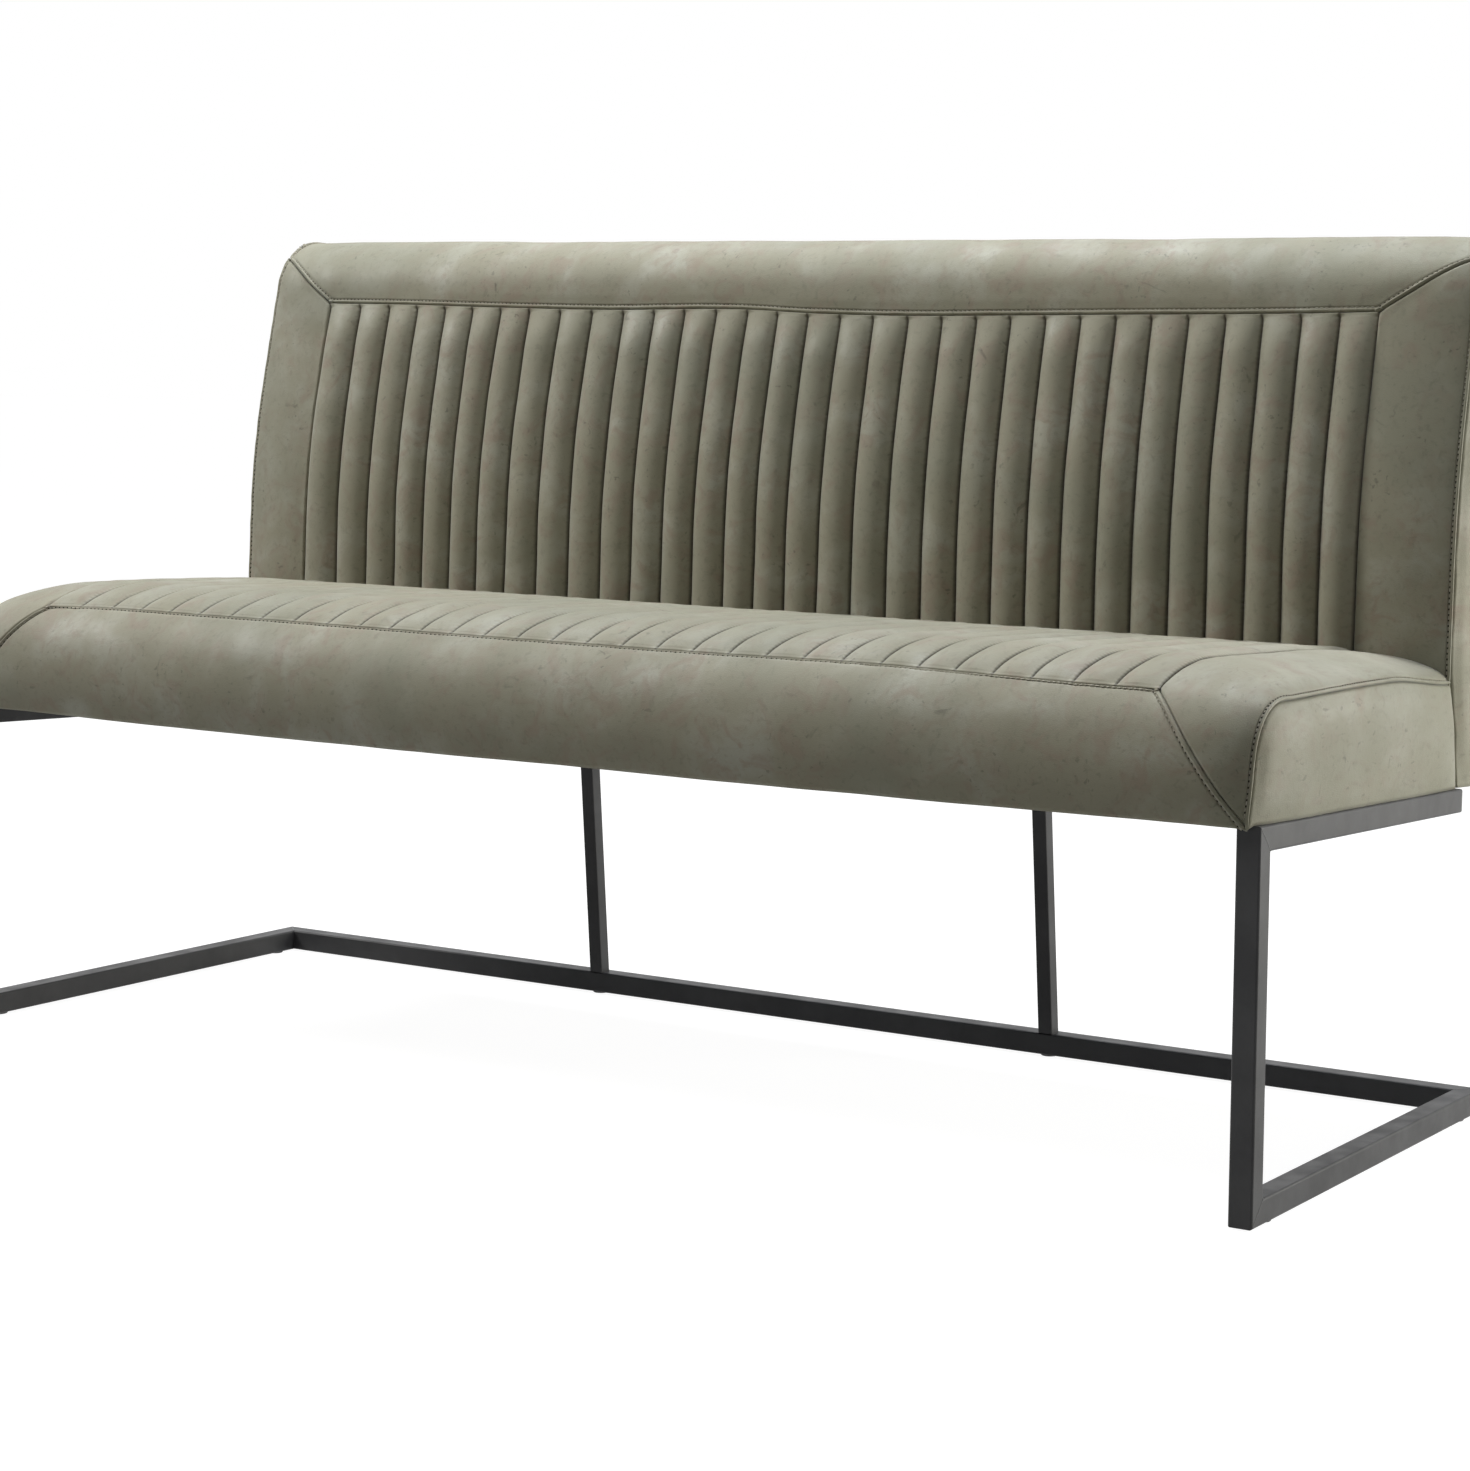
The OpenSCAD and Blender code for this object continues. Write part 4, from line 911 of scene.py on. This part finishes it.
end_seams, end_bulge = ("left", "right", "head"), side_swell + 0.0015
seat_rear_foot_v, foot_h = 0.526, 0.0003
seat_knee_v, back_knee_v, knee_h = 0.514, 0.5146, 0.07
rear_all = Run((seat_rear_foot_v, foot_h)).to(seat_knee_v, knee_h).to(back_v - seat_rear_gap, seam_h).done()
foot_all = Run(end_front.table[0]).to(0, foot_h).to(seat_rear_foot_v, foot_h).done()
seat_side = plain_panel(patch_between(foot_all, rear_all, end_top, end_front, 1.0), (end_top.length, 0.009),
                        (seam_h, 0.008, hem_rows), 0.009, end_seams, {}, 4.0, 0.0018, bulge=end_bulge)
upholster_ends("seat", "side", seat_side, "side_panel")


# Back cover: the section runs up from behind the seat, bends back at the lumbar line, leans, and
# rolls over the top to a tighter rear edge. The middle stands forward of the side seams.
back_foot_h, bend_h, bend_r, recline = 0.105, 0.220, 0.956, 10.4
field_h, back_h, back_t = 0.498, 0.589, 0.092
top_front_r, top_rear_r = 0.075, 0.014

recline_rad = math.radians(recline)
bend_centre = (back_v + bend_r, bend_h)
bend_end = (bend_centre[0] - bend_r * math.cos(recline_rad), bend_h + bend_r * math.sin(recline_rad))


def lean_v(h):
    return bend_end[0] + (h - bend_end[1]) * math.tan(recline_rad)


top_centre_h = back_h - top_front_r
top_centre = (lean_v(top_centre_h + top_front_r * math.sin(recline_rad))
              + top_front_r * math.cos(recline_rad), top_centre_h)
rear_centre_h = back_h - top_rear_r
rear_centre = (lean_v(rear_centre_h - top_rear_r * math.sin(recline_rad)) + back_t / math.cos(recline_rad)
               - top_rear_r * math.cos(recline_rad), rear_centre_h)
back_field = Run((back_v, back_foot_h)).to(back_v, bend_h).arc(
    bend_centre, bend_r, 0, recline).to(lean_v(field_h), field_h).done()
back_over = Run((lean_v(field_h), field_h)).arc(top_centre, top_front_r, recline, 90).arc(
    rear_centre, top_rear_r, 90, 180 + recline).done()
mitre_run = 0.068
top_mitre = mitre_run / back_over.length


# How far the top seam of the channels lies below its place, by x
top_seam_sag = ((-0.73, -0.003), (-0.62, -0.0025), (-0.46, 0.0005), (-0.3, 0.0025), (-0.08, 0.001),
                (0.0, 0.0045), (0.14, 0.0068), (0.26, 0.0055), (0.4, 0.0035), (0.6, 0.001), (0.73, -0.002))


def back_skin(x, t):
    """Back cover at x and t: 0 at the foot, 1 at the top of the channels, 2 at the rear edge."""
    t = moved_seam(t, -knots(top_seam_sag, x), back_field.length, back_over.length)

    def on(t):
        return np.where((t <= 1)[..., None], back_field.at(np.clip(t, 0, 1)),
                        back_over.at(np.clip(t - 1, 0, 1)))
    step = 0.004
    vh, ahead, behind = on(t), on(np.clip(t + step, 0, 2)), on(np.clip(t - step, 0, 2))
    slope = ahead - behind
    slope /= np.linalg.norm(slope, axis=-1, keepdims=True)
    face = np.stack([-slope[..., 1], slope[..., 0]], -1)
    lift = back_crown * crown_share(x) * np.maximum(0, -face[..., 0]) ** 2
    vh = vh + face * lift[..., None]
    return stand(x, vh[..., 0], vh[..., 1])


def back_mitre_x(t):
    run = np.clip((t - 1) / top_mitre, 0, 1)
    return field_x + (mitre_end_x - field_x) * run


# Channelled panel of the back: sewn as the seat's, with fuller channels that end square under the
# seam of the top border. Its foot goes down behind the seat.
back_pillow, back_groove = 0.0104, 0.0046
back_ws = rows_between(back_field.length, row_pitch, hem_rows)
back_stray = ((0, 0), (1, 0.0035), (4, 0.006), (7, 0.0045), (8.5, 0.008), (10, 0.0115), (12, 0.0115),
              (14, 0.0115), (16, 0.0065), (20, 0.0072), (23, 0.0052), (26, 0.003), (29, 0.0005), (31, 0),
              (32, 0))
back_slant = ((0, 0), (1, 0.005), (4, 0.0065), (6, 0.002), (10, 0.003), (14, 0.001), (19, 0.004),
              (22, 0.0075), (25, 0.0045), (30, 0.006), (31.3, 0.002), (32, 0))
grid, run = channelled(centred(back_skin, back_mitre_x), back_ws, back_pillow, back_groove, (2.3, 0.72),
                       "head", 0.055, 6.0, back_stray, back_slant)
upholster("back_channels_leather", grid, "back_channel_panel", run)


# Top border of the back: one strip that rolls over the top and round the rear edge, mitred into
# the side borders at both ends, topstitched along its lower seam and its mitres.
over_strips = {"left": strip_w, "right": strip_w, "foot": strip_w}
over = plain_panel(centred(back_skin, back_mitre_x, 1), (2 * field_x,), (back_over.length,), 0.004,
                   ("left", "right", "foot", "head"), over_strips, 7.0, 0.0012, back_rows)
upholster("back_top_border_leather", over, "back_top_border")


# Side borders of the back: a strip of leather at each end, from behind the seat up to the mitre with
# the top border, sewn to the channels and to the side panels.
side_reach = back_field.length + mitre_run
side_front_share = back_field.length / side_reach


def back_border_surf(u, w):
    t = np.where(w < side_front_share, w / side_front_share,
                 1 + (w - side_front_share) * side_reach / back_over.length)
    start = back_mitre_x(t)
    return back_skin(start + (seam_x - start) * u, t)


one_side = []
border = plain_panel(back_border_surf, (border_w,), (side_reach, 0.007, hem_rows), 0.006,
                     ("left", "right"), {"right": strip_w}, 8.0, 0.0014, one_side)
back_rows += at_both_ends(one_side)
upholster_ends("back", "border", border, "border")


# Rear cover of the back: one plain sheet of the same leather, stretched over the rear of the posts
# and stapled under the bottom board.
def rear_line():
    """The rear face of the back from its upper edge down."""
    line = []
    for s in np.linspace(1, 0, 60):
        way = back_field.at(min(1, s + 0.003)) - back_field.at(max(0, s - 0.003))
        way /= np.linalg.norm(way)
        line.append(back_field.at(s) + np.array([way[1], -way[0]]) * back_t)
    return line


rear_run = Run(back_over.table[-1])
for point in rear_line():
    rear_run.to(*point)
rear_run.to(back_v + back_t, 0.001).done()


def rear_surf(u, w):
    vh = rear_run.at(w)
    return stand((1 - 2 * u) * -seam_x, vh[..., 0], vh[..., 1])


rear = plain_panel(rear_surf, (2 * seam_x, 0.014), (rear_run.length, 0.012, edge_rows, hem_rows), 0.003,
                   ("left", "right", "foot"), {}, 9.0, 0.0016, pressure=5, share=0.7)
upholster("back_rear_leather", rear, "back_rear_cover")


# Side panels of the back: they follow the whole outline of the back and run down past the seat.
# They swell a little, as the seat's do.
back_side_foot, crest_follow = (seat_rear_foot_v + 0.0006, foot_h), 0.005
crest_from, crest_to = 62, 135
front_line = Run(back_side_foot).to(back_knee_v, knee_h).to(back_v, seam_h).to(
    back_v, bend_h).arc(bend_centre, bend_r, 0, recline).to(lean_v(field_h), field_h).arc(
    top_centre, top_front_r, recline, crest_from).done()
crest = Run(front_line.table[-1]).arc(top_centre, top_front_r, crest_from, 90).arc(
    rear_centre, top_rear_r, 90, crest_to).done()
rear_up = Run((back_v + back_t, foot_h))
for point in reversed(rear_line()):
    rear_up.to(*point)
rear_up.arc(rear_centre, top_rear_r, 180 + recline, crest_to).done()
sole = Run(back_side_foot).to(back_v + back_t, foot_h).done()
back_side = plain_panel(patch_between(sole, rear_up, crest, front_line, crest_follow), (back_t, 0.008),
                        (front_line.length, 0.009, hem_rows), 0.006, end_seams, {}, 11.0, 0.0014,
                        bulge=end_bulge)
upholster_ends("back", "side", back_side, "side_panel")


# Topstitching: single rows of thick polyester thread a little lighter than the hide, on the border side
# of the front seam, the mitres, the side seams and the top seam. Between the stitches, dark beads are
# painted shade for the needle holes.
stitch_pitch, stitch_l, hole_shade_l = 0.0058, 0.0042, 0.0022
stitch_w, hole_shade_w = 2 * thread_r, 1.9 * thread_r
trace_pitch = 0.0008

thread, bsdf, where = new_material("sewing_thread", (0.35, 0.325, 0.255), 0.55, 0.4)
shade = ramp_of(noise_of(where, 300.0), 0.4, 0.65)
uneven(bsdf, (0.37, 0.345, 0.27), (0.26, 0.235, 0.175), shade)
twist = node_of(where.id_data, "ShaderNodeTexWave", {"Vector": where}, Scale=1500.0,
                bands_direction="DIAGONAL").outputs["Fac"]
relief(bsdf, twist, 0.0001)
# Painted shade: near-black beads that stand for the shade inside the needle holes.
hole_shade, bsdf, where = new_material("hole_shade", (0.022, 0.018, 0.012), 0.9, 0.1)
relief(bsdf, noise_of(where, 900.0), 0.0001)


def stitch_tree():
    """Geometry Nodes: a stitch at every pitch along the edges of the mesh."""
    group = bpy.data.node_groups.new("topstitch", "GeometryNodeTree")
    for label, kind in (("Geometry", "Geometry"), ("Pitch", "Float"), ("Length", "Float"),
                        ("Thickness", "Float"), ("Thread", "Material")):
        group.interface.new_socket(label, in_out="INPUT", socket_type=f"NodeSocket{kind}")
    group.interface.new_socket("Geometry", in_out="OUTPUT", socket_type="NodeSocketGeometry")
    given = node_of(group, "NodeGroupInput").outputs
    line = node_of(group, "GeometryNodeMeshToCurve", {"Mesh": given["Geometry"]})
    points = node_of(group, "GeometryNodeResampleCurve", {"Curve": line, "Length": given["Pitch"]},
                     mode="LENGTH")
    bead = node_of(group, "GeometryNodeMeshUVSphere", Segments=6, Rings=5, Radius=0.5)
    size = node_of(group, "ShaderNodeCombineXYZ",
                   {"X": given["Thickness"], "Y": given["Thickness"], "Z": given["Length"]})
    shaped = node_of(group, "GeometryNodeTransform", {"Geometry": bead, "Scale": size})
    way = node_of(group, "GeometryNodeInputTangent")
    turn = node_of(group, "FunctionNodeAlignRotationToVector", {"Vector": way}, axis="Z")
    stitches = node_of(group, "GeometryNodeInstanceOnPoints",
                       {"Points": points, "Instance": shaped, "Rotation": turn})
    real = node_of(group, "GeometryNodeRealizeInstances", {"Geometry": stitches})
    smooth = node_of(group, "GeometryNodeSetShadeSmooth", {"Geometry": real})
    dyed = node_of(group, "GeometryNodeSetMaterial", {"Geometry": smooth, "Material": given["Thread"]})
    node_of(group, "NodeGroupOutput", {"Geometry": dyed})
    return group


def stitched_along(name, rows, shift, length, thickness, material):
    """Stitches along rows of points, the first one shift along each row."""
    places, edges = [], []
    for row in rows:
        line = evenly(row, trace_pitch)[round(shift / trace_pitch):].tolist()
        edges += [(len(places) + k, len(places) + k + 1) for k in range(len(line) - 1)]
        places += line
    mesh = bpy.data.meshes.new(name)
    mesh.from_pydata(places, edges, [])
    obj = added(name, mesh)
    mod = obj.modifiers.new("topstitch", "NODES")
    mod.node_group = stitching
    sockets = {item.name: item.identifier for item in stitching.interface.items_tree
               if item.in_out == "INPUT"}
    for label, value in (("Pitch", stitch_pitch), ("Length", length), ("Thickness", thickness),
                         ("Thread", material)):
        mod[sockets[label]] = value
    fixed(obj)
    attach(obj, "root")


stitching = stitch_tree()
# Each part gets its thread stitches and, between them, dark beads of painted shade for the needle holes.
for part, rows in (("seat", seat_rows), ("back", back_rows)):
    stitched_along(f"{part}_topstitching", rows, 0, stitch_l, stitch_w, thread)
    stitched_along(f"{part}_hole_shade_beads", rows, stitch_pitch / 2, hole_shade_l, hole_shade_w, hole_shade)
